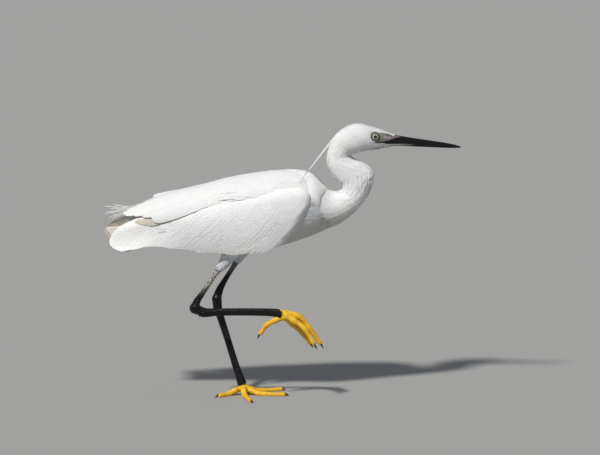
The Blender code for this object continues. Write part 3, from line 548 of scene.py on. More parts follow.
def tubeRings(surface, start, end, steps, segments, depth=0.0):
    angles = np.arange(segments) * 360 / segments
    return [surface(np.full(segments, place), angles, -depth) for place in np.linspace(start, end, steps)]


def addBall(shape, centre, radius, segments=24, rings=16):
    bmesh.ops.create_uvsphere(shape, u_segments=segments, v_segments=rings, radius=radius * mm,
                              matrix=Matrix.Translation(Vector(centre) * mm))


def melt(name, shape, voxel, smoothing):  # one closed mesh round shapes that overlap
    bmesh.ops.recalc_face_normals(shape, faces=shape.faces)
    mesh = bpy.data.meshes.new(name)
    shape.to_mesh(mesh)
    shape.free()
    holder = bpy.data.objects.new(name, mesh)
    bpy.context.scene.collection.objects.link(holder)
    remesh = holder.modifiers.new("melt", "REMESH")
    remesh.mode, remesh.voxel_size = "VOXEL", voxel * mm
    relax = holder.modifiers.new("relax", "SMOOTH")
    relax.factor, relax.iterations = 0.5, smoothing
    made = bpy.data.meshes.new_from_object(holder.evaluated_get(bpy.context.evaluated_depsgraph_get()))
    bpy.data.objects.remove(holder)
    return made


def pointsOf(mesh):  # places and normals of a mesh's points, in millimetres
    co, normal = np.empty(len(mesh.vertices) * 3), np.empty(len(mesh.vertices) * 3)
    mesh.vertices.foreach_get("co", co)
    mesh.vertices.foreach_get("normal", normal)
    return co.reshape(-1, 3) / mm, normal.reshape(-1, 3)


def movePoints(mesh, co):
    mesh.vertices.foreach_set("co", (co * mm).astype(np.float32).ravel())
    mesh.update()
    mesh.shade_smooth()


def bell(x, wide):  # 1 at 0, fading to 0 past wide
    return np.exp(-(np.asarray(x) / wide) ** 2)


thighRight = ((-50.0, -14.0, 200.0, 12.5, 9.0), (-56.0, -16.0, 187.0, 11.0, 8.4), (-63.5, -18.0, 176.0, 9.0, 7.2),
              (-69.0, -19.0, 166.8, 6.4, 5.4), (-75.2, -20.0, 159.6, 4.2, 3.8))
thighLeft = ((-34.0, 15.0, 196.0, 11.0, 8.6), (-42.0, 15.5, 182.0, 8.0, 7.2), (-49.0, 16.0, 170.5, 5.2, 4.9),
             (-55.0, 16.0, 161.8, 4.0, 3.8))
eye = {"ahead": 111.3, "up": 318.5, "out": 6.6, "radius": 5.0, "turn": 6.0, "pupil": 2.15, "iris": 3.3}
pad = {"rows": ((-118.0, 40.0, 84.0), (-90.0, 30.0, 114.0), (-55.0, 25.0, 152.0), (-18.0, 24.0, 171.0),
                (-5.0, 27.0, 165.0), (8.0, 35.0, 146.0), (19.0, 48.0, 112.0), (25.0, 62.0, 84.0)),
       "depth": 1.7, "thick": 9.0, "fill": 9.0, "columns": 16, "steps": 30}
skinLook = {"depth": 1.5, "voxel": 1.3, "smoothing": 6}


def wingPad(shape, surface):
    rows = np.array(pad["rows"])
    rings = []
    for ahead in np.linspace(rows[0, 0], rows[-1, 0], pad["steps"]):
        top, low = (np.interp(ahead, rows[:, 0], rows[:, i]) for i in (1, 2))
        angles = np.linspace(top, low, pad["columns"])
        outer = surface(np.full(len(angles), ahead), angles, -pad["depth"])
        inner = surface(np.full(len(angles), ahead), angles, -pad["thick"] - pad["fill"] * np.clip((angles - 110) / 40, 0, 1))
        rings.append(np.vstack([outer, inner[::-1]]))
    loftPoints(shape, rings)


def eyeAxis(side):
    turn = math.radians(eye["turn"])
    return Vector((math.sin(turn), side * math.cos(turn), 0))


def makeSkin():
    shape = bmesh.new()
    loftPoints(shape, tubeRings(bodySkin, 0, 15.5, 80, 48, skinLook["depth"]))
    loftPoints(shape, tubeRings(bodySkin, 14.8, billRoot, 80, 48, 0.8))
    for rows in (thighRight, thighLeft):
        loftPoints(shape, tubeRings(limbSurface(rows), 0, len(rows) - 1.02, 20, 24, 1.0))
    for side in (-1, 1):
        wingPad(shape, wingSurface(side))
    angles = np.arange(24) * math.pi / 12
    loftPoints(shape, [np.stack([np.full(24, -158.0 - back), wide * np.sin(angles), 208.5 - back / 20 + high * np.cos(angles)], 1)
                       for back, wide, high in ((0, 8.0, 11.0), (12, 6.5, 6.0), (22, 4.5, 2.2))])
    mesh = melt("skin", shape, skinLook["voxel"], skinLook["smoothing"])
    co, normal = pointsOf(mesh)
    side = np.sign(co[:, 1])
    fromEye = np.hypot(co[:, 0] - eye["ahead"], co[:, 2] - eye["up"])
    onHead = (np.abs(co[:, 1]) > 4) & (co[:, 0] > 90)
    co[:, 1] -= side * 3.2 * onHead * np.clip((5.6 - fromEye) / 1.0, 0, 1)  # the socket under the eyeball
    gape = 310.6 + 0.04 * (co[:, 0] - 110)
    alongGape = np.clip((co[:, 0] - 106) / 8, 0, 1)
    co -= normal * (0.8 * bell(co[:, 2] - gape, 0.9) * alongGape * onHead)[:, None]  # the corner of the mouth
    lore = onHead * bell(co[:, 2] - 317, 4.5) * np.clip((co[:, 0] - 117) / 3, 0, 1)
    co += normal * (0.22 * lore * np.sin(co[:, 2] * 2.6 + co[:, 0] * 0.5))[:, None]  # folds of the bare lore
    movePoints(mesh, co)
    return mesh


def skinMaterial():
    material, tree, shader = newMaterial("skin", 0.7, 0.3)
    place = objectPlace(tree)
    x, y, z = split(tree, place)
    white = useGroup(tree, plumageTintAndShade)["Color"]
    mottle = noise(tree, place, 420, 3)
    rose = blend(tree, fade(tree, mottle, 0.42, 0.6), (0.14, 0.13, 0.115), (0.40, 0.355, 0.33))
    front = fade(tree, x, 0.109, 0.113)
    lore = maths(tree, "MULTIPLY", front, fade(tree, z, 0.3095, 0.3112))
    lore = maths(tree, "MULTIPLY", lore, fade(tree, z, 0.3262, 0.3235))
    bare = blend(tree, fade(tree, x, 0.119, 0.126), (0.19, 0.19, 0.155), rose)
    dark = maths(tree, "MULTIPLY", fade(tree, x, 0.110, 0.118), fade(tree, z, 0.3125, 0.3112))
    dark = maths(tree, "MULTIPLY", dark, fade(tree, z, 0.3090, 0.3100))
    colour = blend(tree, lore, white, bare)
    colour = blend(tree, dark, colour, (0.03, 0.028, 0.03))
    tree.links.new(colour, shader.inputs["Base Color"])
    grain = noise(tree, place, 1500, 3, stretch=(0.35, 1, 1))
    bumpInto(tree, shader, grain, 0.25, 0.6)
    return material


skin = settle("skin", makeSkin(), skinMaterial(),
              ("head", "neck_upper", "neck_lower", "torso", "thigh_right", "thigh_left"))
print("skin done")


# Coat of head, neck, breast and belly

def unwrapped(root, low, high, turn=360.0):  # a root's place on the skin's own unwrap, 0 to 1 each way
    return np.stack([(root[:, 0] - low) / (high - low), (root[:, 1] % turn) / turn], 1)


def vary(count, middle, share):
    return middle * dice.uniform(1 - share, 1 + share, count)


outlines = {
    "hair": (0.55, 1.0, 0.8, 0.1),
    "soft": (0.4, 0.9, 1.0, 0.85, 0.3),
    "broad": (0.35, 0.8, 1.0, 1.0, 0.9, 0.4),
    "flight": (0.22, 0.6, 0.86, 0.97, 1.0, 1.0, 0.99, 0.97, 0.94, 0.88, 0.76, 0.52, 0.14),
    "tertial": (0.22, 0.6, 0.86, 0.97, 1.0, 1.0, 0.97, 0.9, 0.8, 0.66, 0.5, 0.3, 0.06),
}
flightShares = (0, 0.08, 0.18, 0.3, 0.42, 0.54, 0.65, 0.75, 0.83, 0.9, 0.95, 0.985, 1.0)

neckCoat = {"from": 25.4, "to": 7.9, "gap": 1.7, "length": 11.0, "width": 2.4}
# Length and width of the small feathers on neck and head, as shares of those on the neck: place, share
neckGrading = np.array(((7.9, 1.15), (14.0, 1.0), (18.0, 0.8), (22.0, 0.55), (24.0, 0.42), (25.5, 0.32)))
# Places where the small feathers stand up a little: place, angle from the back, reach, height
tufts = ((12.6, 222.0, 0.5, 2.0), (12.0, 195.0, 0.4, 2.4), (11.4, 180.0, 0.4, 2.2), (11.9, 212.0, 0.4, 1.6),
         (15.4, 335.0, 1.8, 1.5), (15.2, 25.0, 1.6, 1.3), (23.4, 206.0, 0.4, 2.2), (24.2, 200.0, 0.4, 2.2),
         (22.6, 210.0, 0.35, 2.0), (21.4, 225.0, 0.5, 1.6), (20.4, 245.0, 0.5, 1.2), (18.6, 250.0, 0.5, 1.2),
         (24.7, 215.0, 0.3, 2.0), (24.0, 165.0, 0.6, 1.6))
bodyCoat = {"from": 8.9, "to": 0.2, "gapAlong": 4.6, "gapAcross": 3.8, "length": 17.0, "width": 7.0}
thighCoat = {"gapAlong": 3.0, "gapAcross": 2.3, "length": 9.0, "width": 3.4}
collar = {"from": 10.2, "to": 8.0, "gapAlong": 3.2, "gapAcross": 1.7, "width": 3.0}
# Where the collar's free edge lies and how far it stands off: angle from the back, place, height
collarEdge = np.array(((0, 7.75, 0.0), (25, 7.45, 0.1), (46, 7.05, 0.2), (60, 6.75, 0.3), (70, 6.62, 0.4),
                       (84, 6.6, 1.0), (94, 6.66, 2.2), (107, 6.87, 2.4), (120, 7.2, 1.6), (140, 7.6, 0.4),
                       (180, 7.6, 0.1)))
hem = {"gap": 2.0, "length": 26.0, "width": 4.8, "last": 91.0, "rise": 3.6}  # feathers of the mantle that start under that edge


def bareFace(points):  # where the face has no feathers: eye, lore and the sides of the bill
    x, y, z = np.moveaxis(points, -1, 0)
    onSide = np.abs(y) > 3.2
    eyeDisc = np.hypot(x - eye["ahead"], z - eye["up"]) < 5.7
    lore = (x > eye["ahead"]) & (z > 310.8) & (z < 323.2 - 0.17 * (x - 114))
    gape = (x > 109) & (np.abs(z - 310.9) < 0.9)
    bill = (x > 126) & (z > 308.6) & (z < 320.5)
    return onSide & (eyeDisc | lore | gape | bill)


def strandsOf(root):  # how the hair-like feathers gather, from -1 between the strands to 1 on them
    place, around = root[:, 0], np.radians(root[:, 1])
    return np.sin(around * 29 + 2.0 * np.sin(place * 1.3) + 1.5 * np.sin(around * 5 + place * 0.6))


# Paints shade: the tag turns the upper faces' colour bluish grey
def shadeVanes(vanes, amount):  # a bluish shade on the upper faces, from 0 to 1
    vanes["vane"][..., 2] -= np.asarray(amount, float)[:, None, None]


def makeNeckCoat():  # neck and head in one, each feather laid back along the one surface
    places = []
    for start, end in ((26.1, 21.0), (21.0, 16.5), (16.5, 7.9)):
        size = float(np.interp((start + end) / 2, *neckGrading.T))
        places.append(scatter(bodySkin, start, end, (0, 360), 2.4 * size, neckCoat["gap"] * size**0.8))
    root = np.vstack(places)
    size = np.interp(root[:, 0], *neckGrading.T)
    length = vary(len(root), neckCoat["length"], 0.22) * size
    speed = np.maximum(speedOf(bodySkin, root[:, 0], root[:, 1]), 5.0)
    tip = root - np.stack([length / speed, dice.normal(0, 4, len(root)) * size], 1)
    keep = ~(bareFace(bodySkin(root[:, 0], root[:, 1], 0)) | bareFace(bodySkin(tip[:, 0], tip[:, 1], 0)))
    slope = np.cos(np.radians(root[:, 1]))
    keep &= (root[:, 0] < billRoot) | (slope > 0.8) | ((slope < -0.4) & (root[:, 0] < 25.6))
    root, tip, size = root[keep], tip[keep], size[keep]
    count = len(root)
    around = np.radians(root[:, 1])
    strands = strandsOf(root)
    ruffle = dice.normal(0, 0.13, count) + 0.34 * strands * size + 0.1 * np.sin(root[:, 0] * 3.1 + around * 3)
    ruffle += dice.uniform(0.3, 1.5, count) * ((root[:, 0] > 23.8) & (np.cos(around) < 0.0))
    for place, angle, reach, height in tufts:
        turned = (root[:, 1] - angle + 180) % 360 - 180
        near = bell(root[:, 0] - place, reach) * bell(turned, 20.0)
        ruffle += height * near * dice.uniform(0.1, 1.0, count)
    lift = np.stack([-1.1 - 0.2 * size, -0.28 + 0 * ruffle, 0.12 + 0.45 * ruffle, 0.2 + ruffle], 1)
    width = vary(count, neckCoat["width"], 0.2) * size**0.7
    vanes = layVanes(bodySkin, root, tip, width, lift, outlines["hair"], twist=dice.normal(0, 4, count), thick=0.3,
                     camber=0.12)
    # Painted bluish shade between the strands of hair-like feathers, fading towards the head
    shadeVanes(vanes, np.clip(-0.2 - strands, 0, 1) * np.interp(root[:, 0], (8, 12, 20, 24), (0.35, 0.3, 0.2, 0.1)))
    return vanes, unwrapped(root, 0, 26)


def makeBodyCoat():
    root = scatter(bodySkin, bodyCoat["from"], bodyCoat["to"], (0, 360), bodyCoat["gapAlong"], bodyCoat["gapAcross"])
    x, y, z = np.moveaxis(bodySkin(root[:, 0], root[:, 1], 0), -1, 0)
    underWing = (np.abs(y) > 17) & (x < 2) & (x > -112) & (z > 202)
    underMantle = (x < 20) & (z > 255)
    fromBack = np.minimum(root[:, 1], 360 - root[:, 1])
    groove = (root[:, 0] > 6.3) & (fromBack < 86)
    root = root[~(underWing | underMantle | groove)]
    count = len(root)
    length = vary(count, bodyCoat["length"], 0.2)
    tip = hairStream(bodySkin, root, length, dice.normal(0, 3, count))
    ruffle = dice.normal(0, 0.15, count)
    lift = np.stack([np.full(count, -1.5), -0.4 + 0 * ruffle, 0.3 + 0.4 * ruffle, 0.6 + ruffle], 1)
    vanes = layVanes(bodySkin, root, tip, vary(count, bodyCoat["width"], 0.15), lift, outlines["soft"],
                     twist=dice.normal(0, 3, count), thick=0.4, camber=0.12, fray=0.12)
    return vanes, unwrapped(root, 0, 26)


def makeCollar():  # the long feathers at the foot of the neck, which end in one free edge
    root = scatter(bodySkin, collar["from"], collar["to"], (25, 335), collar["gapAlong"], collar["gapAcross"])
    count = len(root)
    fromBack = np.minimum(root[:, 1] % 360, 360 - root[:, 1] % 360)
    edge, rise = (np.interp(fromBack, collarEdge[:, 0], collarEdge[:, i]) for i in (1, 2))
    loose = np.clip((fromBack - 92) / 14, 0, 1)
    ragged = 0.22 * np.sin(np.floor(root[:, 1] / 5.5) * 2.4) * loose
    tip = np.stack([edge + ragged + dice.normal(0, 0.02, count), root[:, 1] + dice.normal(0, 1.2, count)], 1)
    lift = np.stack([np.full(count, -0.9), 0.15 * rise, 0.6 * rise, rise + dice.normal(0, 0.12, count)], 1)
    vanes = layVanes(bodySkin, root, tip, vary(count, collar["width"], 0.15), lift, (0.5, 0.9, 1.0, 1.0, 0.95, 0.6),
                     twist=dice.normal(0, 3, count), thick=0.4, camber=0.1)
    # Painted bluish shade between strands, stronger on the collar's lower side
    shadeVanes(vanes, 0.4 * np.clip(-0.2 - strandsOf(root), 0, 1) * np.interp(fromBack, (60, 95), (0.3, 1.0)))
    return vanes, unwrapped(root, 0, 26)


hemShares = np.linspace(0, 1, 29)


def makeHem():  # the mantle's first feathers, rising steeply behind the collar
    ring = np.arange(6.0, hem["last"], 360 * hem["gap"] / (2 * math.pi * 26))
    angles = np.concatenate([ring, 360 - ring])
    count = len(angles)
    fromBack = np.minimum(angles, 360 - angles)
    start = np.interp(fromBack, collarEdge[:, 0], collarEdge[:, 1]) + 0.12
    root = np.stack([start, angles], 1)
    sweep = np.interp(fromBack, (50, 88), (0, 24)) * np.where(angles > 180, 1, -1)  # the lowest run up to the wrist
    tip = hairStream(bodySkin, root, vary(count, hem["length"], 0.1), sweep)
    flat = np.clip((hem["last"] + 3 - fromBack) / 16, 0.12, 1) * np.clip((fromBack + 10) / 40, 0, 1) * hem["rise"]
    lift = np.stack([-1.6 + 0 * flat, 0.4 * flat, 0.8 * flat, flat, 0.9 * flat, 0.5 * flat, 0.1 * flat - 0.2], 1)
    lift = np.stack([np.interp(hemShares, (0, 0.06, 0.12, 0.19, 0.38, 0.68, 1.0), row) for row in lift])
    vanes = layVanes(bodySkin, root, tip, vary(count, hem["width"], 0.1), lift,
                     (1.0, 1.0, 1.0, 1.0, 1.0, 1.0, 1.0, 1.0, 1.0, 0.97, 0.93, 0.86, 0.7, 0.3), thick=0.4, camber=0.05)
    return vanes, unwrapped(root, 0, 26)


def makeThighCoat(rows):
    surface = limbSurface(rows)
    root = scatter(surface, 0.35, len(rows) - 1.12, (0, 360), thighCoat["gapAlong"], thighCoat["gapAcross"])
    count = len(root)
    tip = hairStream(surface, root, vary(count, thighCoat["length"], 0.2), dice.normal(0, 5, count), back=1)
    tip[:, 0] = np.minimum(tip[:, 0], len(rows) - 1 + dice.uniform(-0.02, 0.12, count))
    ruffle = dice.normal(0, 0.15, count)
    lift = np.stack([np.full(count, -1.1), -0.2 + 0 * ruffle, 0.25 + 0.5 * ruffle, 0.2 + ruffle], 1)
    vanes = layVanes(surface, root, tip, vary(count, thighCoat["width"], 0.2), lift, outlines["hair"], thick=0.35,
                     camber=0.15)
    return vanes, unwrapped(root, 0, len(rows))


featherPiece("neck_feathers", [makeNeckCoat()], smallFeather)
featherPiece("body_feathers", [makeBodyCoat()], smallFeather)
featherPiece("breast_plumes", [makeCollar(), makeHem()], smallFeather)
featherPiece("thigh_feathers", [makeThighCoat(thighRight), makeThighCoat(thighLeft)], smallFeather)
print("small feathers done")


# Folded wings, back and tail

# Coverts, from the front rim back: start and end on the cover, length, width, spacing along and across, lift
wing = {"secondaries": 30, "primaries": 10, "shingle": 2.0, "coverts": (
    (10.4, 7.6, 30.0, 6.4, 9.0, 4.2, 0.26), (7.8, 4.4, 24.0, 5.8, 7.0, 3.8, 0.36),
    (4.6, 2.0, 17.0, 5.8, 4.8, 3.3, 0.44), (2.7, -0.5, 10.5, 4.8, 2.7, 2.3, 0.46))}
# Tips of the primaries, ahead and angle, from the lowest up
primaryTips = {
    "near": ((-197.0, 172.0), (-203.0, 162.0), (-206.5, 148.0), (-206.5, 130.0), (-205.0, 112.0), (-201.0, 97.0),
             (-191.0, 82.0)),
    "far": ((-198.0, 150.0), (-205.0, 134.0), (-210.0, 122.0), (-213.2, 110.0), (-213.0, 96.0), (-210.0, 82.0),
            (-204.0, 68.0)),
}
# Front rim of the folded wing: angle from the back and ahead
wingFront = np.array(((10, 22.0), (25, 29.0), (45, 34.0), (60, 36.0), (70, 34.5), (100, 26.0), (148, 9.6),
                      (168, -1.0), (180, -18.0)))
# Lower edge of the shoulder feathers that lie over the wing: ahead and angle
shoulderEdge = np.array(((-150.0, 60.0), (-120.0, 61.0), (-92.0, 56.0), (-68.0, 59.0), (-59.0, 53.5), (-43.0, 57.0),
                         (-31.0, 51.0), (0.0, 51.0), (25.0, 54.0), (40.0, 58.0)))
tertialTips = np.array(((-160.0, 14.0), (-176.0, 18.0), (-190.5, 26.0), (-188.0, 36.0), (-178.0, 48.0),
                        (-167.5, 61.5), (-156.0, 76.0)))
# Lines of the wing's feathers from the front one up to the last below the tertials, each through a place on the
# front rim, one at the root of its flight feather and one at its tip: ahead and angle
lanes = np.array((
    (-13.0, 178.0, -15.0, 180.0, -20.0, 184.0),
    (1.0, 163.0, -6.0, 170.0, -29.0, 184.0),
    (12.0, 142.0, -1.0, 158.0, -44.0, 184.0),
    (19.0, 122.0, 1.0, 144.0, -63.0, 183.0),
    (26.5, 104.0, -6.0, 132.0, -84.0, 182.0),
    (31.0, 92.0, -18.0, 121.0, -108.0, 181.0),
    (34.5, 82.0, -34.0, 110.0, -134.0, 180.0),
    (35.5, 75.5, -50.0, 100.0, -160.0, 180.0),
    (36.0, 71.0, -64.0, 91.6, -184.0, 181.0),
    (36.0, 68.0, -74.0, 85.0, -197.0, 172.0),
    (35.5, 65.5, -80.0, 79.0, -194.0, 158.0),
    (34.5, 63.0, -84.0, 74.0, -180.0, 147.0),
    (33.0, 60.0, -87.0, 69.5, -163.0, 134.0),
    (31.0, 55.0, -86.0, 62.0, -158.0, 120.0),
))
topLane = 12.0  # the last lane seen below the tertials
rim = {"radius": 7.5, "bulge": 1.6, "bulgeAngle": 66.0, "bulgeReach": 12.0}


def coverSurface(side):  # the wing's feathered face: 0 on the front rim, 6 at the roots, 12 at the tips; 20 a lane
    wingFace = wingSurface(side)

    def place(u, v):
        line = rowsAt(lanes, v / 20)
        front, root, tip = line[..., 0:2], line[..., 2:4], line[..., 4:6]
        t = (u / 6)[..., None]
        return front * (1 - t) * (2 - t) / 2 + root * t * (2 - t) + tip * t * (t - 1) / 2

    every = np.arange(-20.0, 20.0 * len(lanes), 5.0)
    half = np.full(len(every), 0.3)
    stride = wingFace(*np.moveaxis(place(half + 0.1, every), -1, 0), 0) - wingFace(*np.moveaxis(place(half, every), -1, 0), 0)
    speeds = np.linalg.norm(stride, axis=1) / 0.1

    def point(u, v, lift):
        u, v, lift = np.broadcast_arrays(np.asarray(u, float), v, lift)
        reach = np.minimum(rim["radius"] / np.maximum(np.interp(v, every, speeds), 0.5), 4.0)
        turn = np.clip(np.where(u < 0, 1 - u, 1 - u / reach), 0, 2) * math.pi / 2
        ahead, angle = np.moveaxis(place(np.where(turn > 0, reach - reach * np.sin(turn), u), v), -1, 0)
        drop = rim["radius"] * (1 - np.cos(turn))
        raised = rim["bulge"] * bell(angle - rim["bulgeAngle"], rim["bulgeReach"]) * np.clip((ahead + 70) / 40, 0, 1)
        out = lift * np.cos(turn) - drop + raised
        return wingFace(ahead + lift * np.sin(turn), angle, out)
    return point


def onWing(root):
    return unwrapped(root, -215, 40, 200.0)


def onCover(root):
    return unwrapped(root, -4, 14, 300.0)


def flightFeathers(side):
    surface, cover = wingSurface(side), coverSurface(side)
    tips = primaryTips["near" if side < 0 else "far"]
    k = np.linspace(0, 1, wing["primaries"])
    tip = rowsAt(np.array(tips), k * (len(tips) - 1))
    root = np.stack([-88 - 6 * k, tip[:, 1] * 0.5 + 46], 1)
    low = 0.22 * np.arange(wing["primaries"])[::-1]
    lift = np.stack([-3.0 - 0 * k, -1.6 - low, -0.7 - 0.6 * low], 1)
    primaries = layVanes(surface, root, tip, 15.0, lift, outlines["flight"], flightShares, bow=-2.0, across=7,
                         camber=0.1, shaft=0.25, twist=-2.0, fray=0.02)
    sheets = [(onwardBarbs(primaries, side), onWing(root))]
    root = np.array([(-70.0, angle) for angle in (46.0, 53.0, 61.0, 70.0)])
    tip = np.array(((-163.0, 74.0), (-166.0, 88.0), (-164.0, 104.0), (-160.0, 120.0)))
    inner = layVanes(surface, root, tip, 14.0, (-3.0, -2.6, -2.2), outlines["flight"], flightShares, across=5)
    # The whole sheet takes the undersides' warm beige: painted warm light in the shade between the wing's layers
    inner["vane"][..., 2] = 1.0
    sheets.append((onwardBarbs(inner, side), onWing(root)))
    # A sheet painted with shade: it stands for the shadowed strip below the tertials and takes the darker beige of
    # below 2
    root = np.array(((-90.0, 56.5), (-142.0, 91.5)))
    tip = np.array(((-160.0, 93.5), (-176.0, 68.0)))
    shadeStrip = layVanes(surface, root, tip, np.array((9.0, 7.5)), (0.1, 0.35, 0.4),
                      (0.1, 0.5, 0.75, 0.9, 1.0, 1.0, 0.95, 0.85, 0.65, 0.3), bow=np.array((1.5, 5.0)), across=5)
    shadeStrip["vane"][..., 2] = 2.0
    sheets.append((onwardBarbs(shadeStrip, side), onWing(root)))  # the shaded strip that shows below the tertials
    root = np.array(((-14.0, 150.0), (-7.0, 148.0), (-2.0, 150.0), (2.0, 153.0), (4.0, 158.0), (-24.0, 155.0)))
    tip = np.array(((-38.0, 181.0), (-30.5, 179.0), (-25.0, 181.0), (-19.5, 182.5), (-14.0, 180.0), (-46.0, 180.0)))
    flank = layVanes(surface, root, tip, 6.5, (-2.2, 0.5, 1.5, 2.4), outlines["tertial"], flightShares, across=5,
                     twist=3.0, camber=0.1, shaft=0.1, fray=0.03)
    # No painted warm light on the undersides of these
    flank["vane"][..., 2] = 0.0
    sheets.append((onwardBarbs(flank, side), onWing(root)))
    v = np.linspace(64, 20 * topLane, wing["secondaries"])
    root = np.stack([np.full(len(v), 6.0), v], 1)
    tip = np.stack([12 + dice.normal(0, 0.12, len(v)), v + dice.normal(0, 0.8, len(v))], 1)
    secondaries = layVanes(cover, root, tip, 14.0, (-2.4, -0.7, -0.1, 0.1), outlines["flight"], flightShares,
                           across=7, twist=-wing["shingle"], camber=0.05, shaft=0.2, fray=0.02)
    sheets.append((onwardBarbs(secondaries, side), onCover(root)))
    return sheets


def coverts(side):
    surface = coverSurface(side)
    pointed = (0.4, 0.85, 1.0, 0.9, 0.6, 0.1)
    sheets = []
    for start, end, length, width, gapAlong, gapAcross, rise in wing["coverts"]:
        root = scatter(surface, start, end, (-4, 20 * topLane + 16), gapAlong, gapAcross, 0.25)
        speed = speedOf(surface, root[:, 0], root[:, 1])
        count = len(root)
        tip = root + np.stack([vary(count, length, 0.12) / speed, dice.normal(0, 0.5, count)], 1)
        tip[:, 0] = np.minimum(tip[:, 0], 11.9 + 0.3 * dice.random(count))
        keep = (tip[:, 0] - root[:, 0] > 0.3 * length / speed) & ((root[:, 1] < 20 * topLane + 3) | (tip[:, 0] < 6.5))
        keep &= root[:, 1] > (30 if length < 14 else 52)
        root, tip = root[keep], tip[keep]
        count = len(root)
        lift = np.stack([np.full(count, -1.2), np.full(count, rise - 0.35), np.full(count, rise - 0.08),
                         rise + dice.normal(0, 0.03, count)], 1)
        vanes = layVanes(surface, root, tip, vary(count, width, 0.15), lift, pointed, twist=dice.normal(-0.6, 0.6, count),
                         thick=0.2, camber=0.03, across=5 if length > 14 else 3, shaft=0.04, fray=0.05)
        sheets.append((onwardBarbs(vanes, side), onCover(root)))
    return sheets


def shoulders(side):  # mantle and scapulars, from the middle of the back to their edge on the wing
    surface = wingSurface(side)
    sheets = []
    tiers = 17
    for tier in range(tiers):
        share = tier / (tiers - 1)
        ahead = 44.0 - 128.0 * share
        length, width = 28.0 + 34.0 * share, 10.0 + 5.0 * share
        edge = np.interp(ahead - length + 10, shoulderEdge[:, 0], shoulderEdge[:, 1])
        tipAngles = np.append(np.arange(2.0 + 2.5 * (tier % 2), edge - 1, 5.0 + 1.5 * share), edge)
        count = len(tipAngles)
        root = np.stack([ahead + dice.normal(0, 2.0, count), tipAngles * 0.88], 1)
        front = np.interp(root[:, 1], wingFront[:, 0], wingFront[:, 1]) + 4
        root[:, 0] = np.minimum(root[:, 0], front)
        tip = np.stack([root[:, 0] - vary(count, length, 0.1), tipAngles + dice.normal(0, 1.0, count)], 1)
        tucked = np.interp(root[:, 0], (-30, 10), (0.0, 1.0)) * np.clip((tipAngles - 34) / 14, 0, 1)
        proud = np.interp(tip[:, 0], (-84, -68, -32, -20), (0.0, 1.0, 1.0, 0.0)) * np.clip((tipAngles - 40) / 12, 0, 1)
        rise = 0.75 - 1.3 * tucked + 2.0 * proud
        lift = np.stack([np.full(count, -2.4), rise - 0.2, rise + 0.1, rise + 0.25], 1)
        vanes = layVanes(surface, root, tip, vary(count, width, 0.08), lift, outlines["soft"] + (0.06,), across=5,
                         twist=dice.normal(0.5, 0.6, count), thick=0.3, camber=0.06, fray=0.04)
        sheets.append((vanes, onWing(root)))
    k = np.linspace(0, 1, len(tertialTips))
    root = np.stack([-46 + 4 * k, 12 + 14 * k], 1)
    for which, outline in ((slice(0, -1), "tertial"), (slice(-1, None), "flight")):
        tertials = layVanes(surface, root[which], tertialTips[which], 21.0, (-2.6, 0.5, 1.6, 2.2), outlines[outline],
                            flightShares, across=9, twist=1.0, camber=0.06, shaft=0.15, bow=1.5, fray=0.01)
        sheets.append((onwardBarbs(tertials, side), onWing(root[which])))
    if side > 0:  # one of the far wing's tertials stands up past the back
        root = np.array(((-80.0, 14.0),))
        stray = layVanes(surface, root, np.array(((-154.5, 17.0),)), 17.0, (-2.0, -1.0, 0.6, 2.6, 4.2),
                         outlines["flight"], flightShares, across=9, twist=np.array(((0.0, 6.0, 16.0, 28.0),)),
                         camber=0.1, shaft=0.3)
        sheets.append((stray, onWing(root)))
    return sheets


for side, name in ((-1, "right"), (1, "left")):
    featherPiece(f"wing_{name}_flight", flightFeathers(side), flightFeather, (f"wing_{name}",))
    featherPiece(f"wing_{name}_coverts", coverts(side), covertFeather, (f"wing_{name}",))
    featherPiece(f"shoulder_{name}", shoulders(side), shoulderFeather, (f"wing_{name}",))
print("wings done")

tailLook = {"base": -160.3, "feathers": 12, "reach": 50.5, "width": 10.5}


def makeTail():
    base = tailLook["base"]

    def surface(ahead, out, lift):
        ahead, out, lift = np.broadcast_arrays(np.asarray(ahead, float), out, lift)
        return np.stack([ahead, out, 206.6 + (ahead - base) * 0.05 + lift - out**2 * 0.03], -1)

    k = np.linspace(-1, 1, tailLook["feathers"])
    root = np.stack([base - 2 + 0 * k, 3.0 * k], 1)
    tip = np.stack([base - tailLook["reach"] + 5 * k**2, 7.5 * k], 1)
    level = 2.4 - 4.6 * np.abs(k)
    vanes = layVanes(surface, root, tip, tailLook["width"], np.stack([level * 0.5, level, level], 1), outlines["flight"],
                     flightShares, across=7, twist=np.where(k > 0, 7.0, -7.0), camber=0.1, shaft=0.25, fray=0.02)
    return vanes, unwrapped(root, -215, 40, 200.0)


featherPiece("tail_feathers", [makeTail()], shoulderFeather, ("tail",))

plume = {"barbs": 17, "barbLength": (3.0, 12.0), "shaftWidth": (1.0, 1.0, 0.9, 0.7, 0.5),
         "barbWidth": (0.6, 0.6, 0.5, 0.36)}
# Plumes of the lower back by where they end: ahead, out, up; in three loose bunches
plumeEnds = ((-213.0, -2.0, 233.4), (-209.5, 3.0, 231.6), (-203.0, 0.5, 234.8), (-206.0, -4.0, 230.4),
             (-211.0, -6.0, 226.4), (-205.0, 5.0, 224.8), (-199.0, -1.0, 227.6), (-212.0, 2.0, 223.4),
             (-207.5, -4.0, 219.8), (-200.0, 6.0, 221.6), (-204.0, 1.0, 217.6))
napePlumes = (
    ((66.0, -2.0, 317.0), (58.5, -4.5, 311.5), (45.6, -9.5, 295.5), (32.5, -17.5, 279.5), (20.6, -30.5, 266.0)),
    ((66.0, -0.5, 315.5), (57.5, -2.0, 309.0), (44.8, -6.5, 293.8), (33.5, -12.5, 280.0), (26.5, -19.5, 275.0)),
)


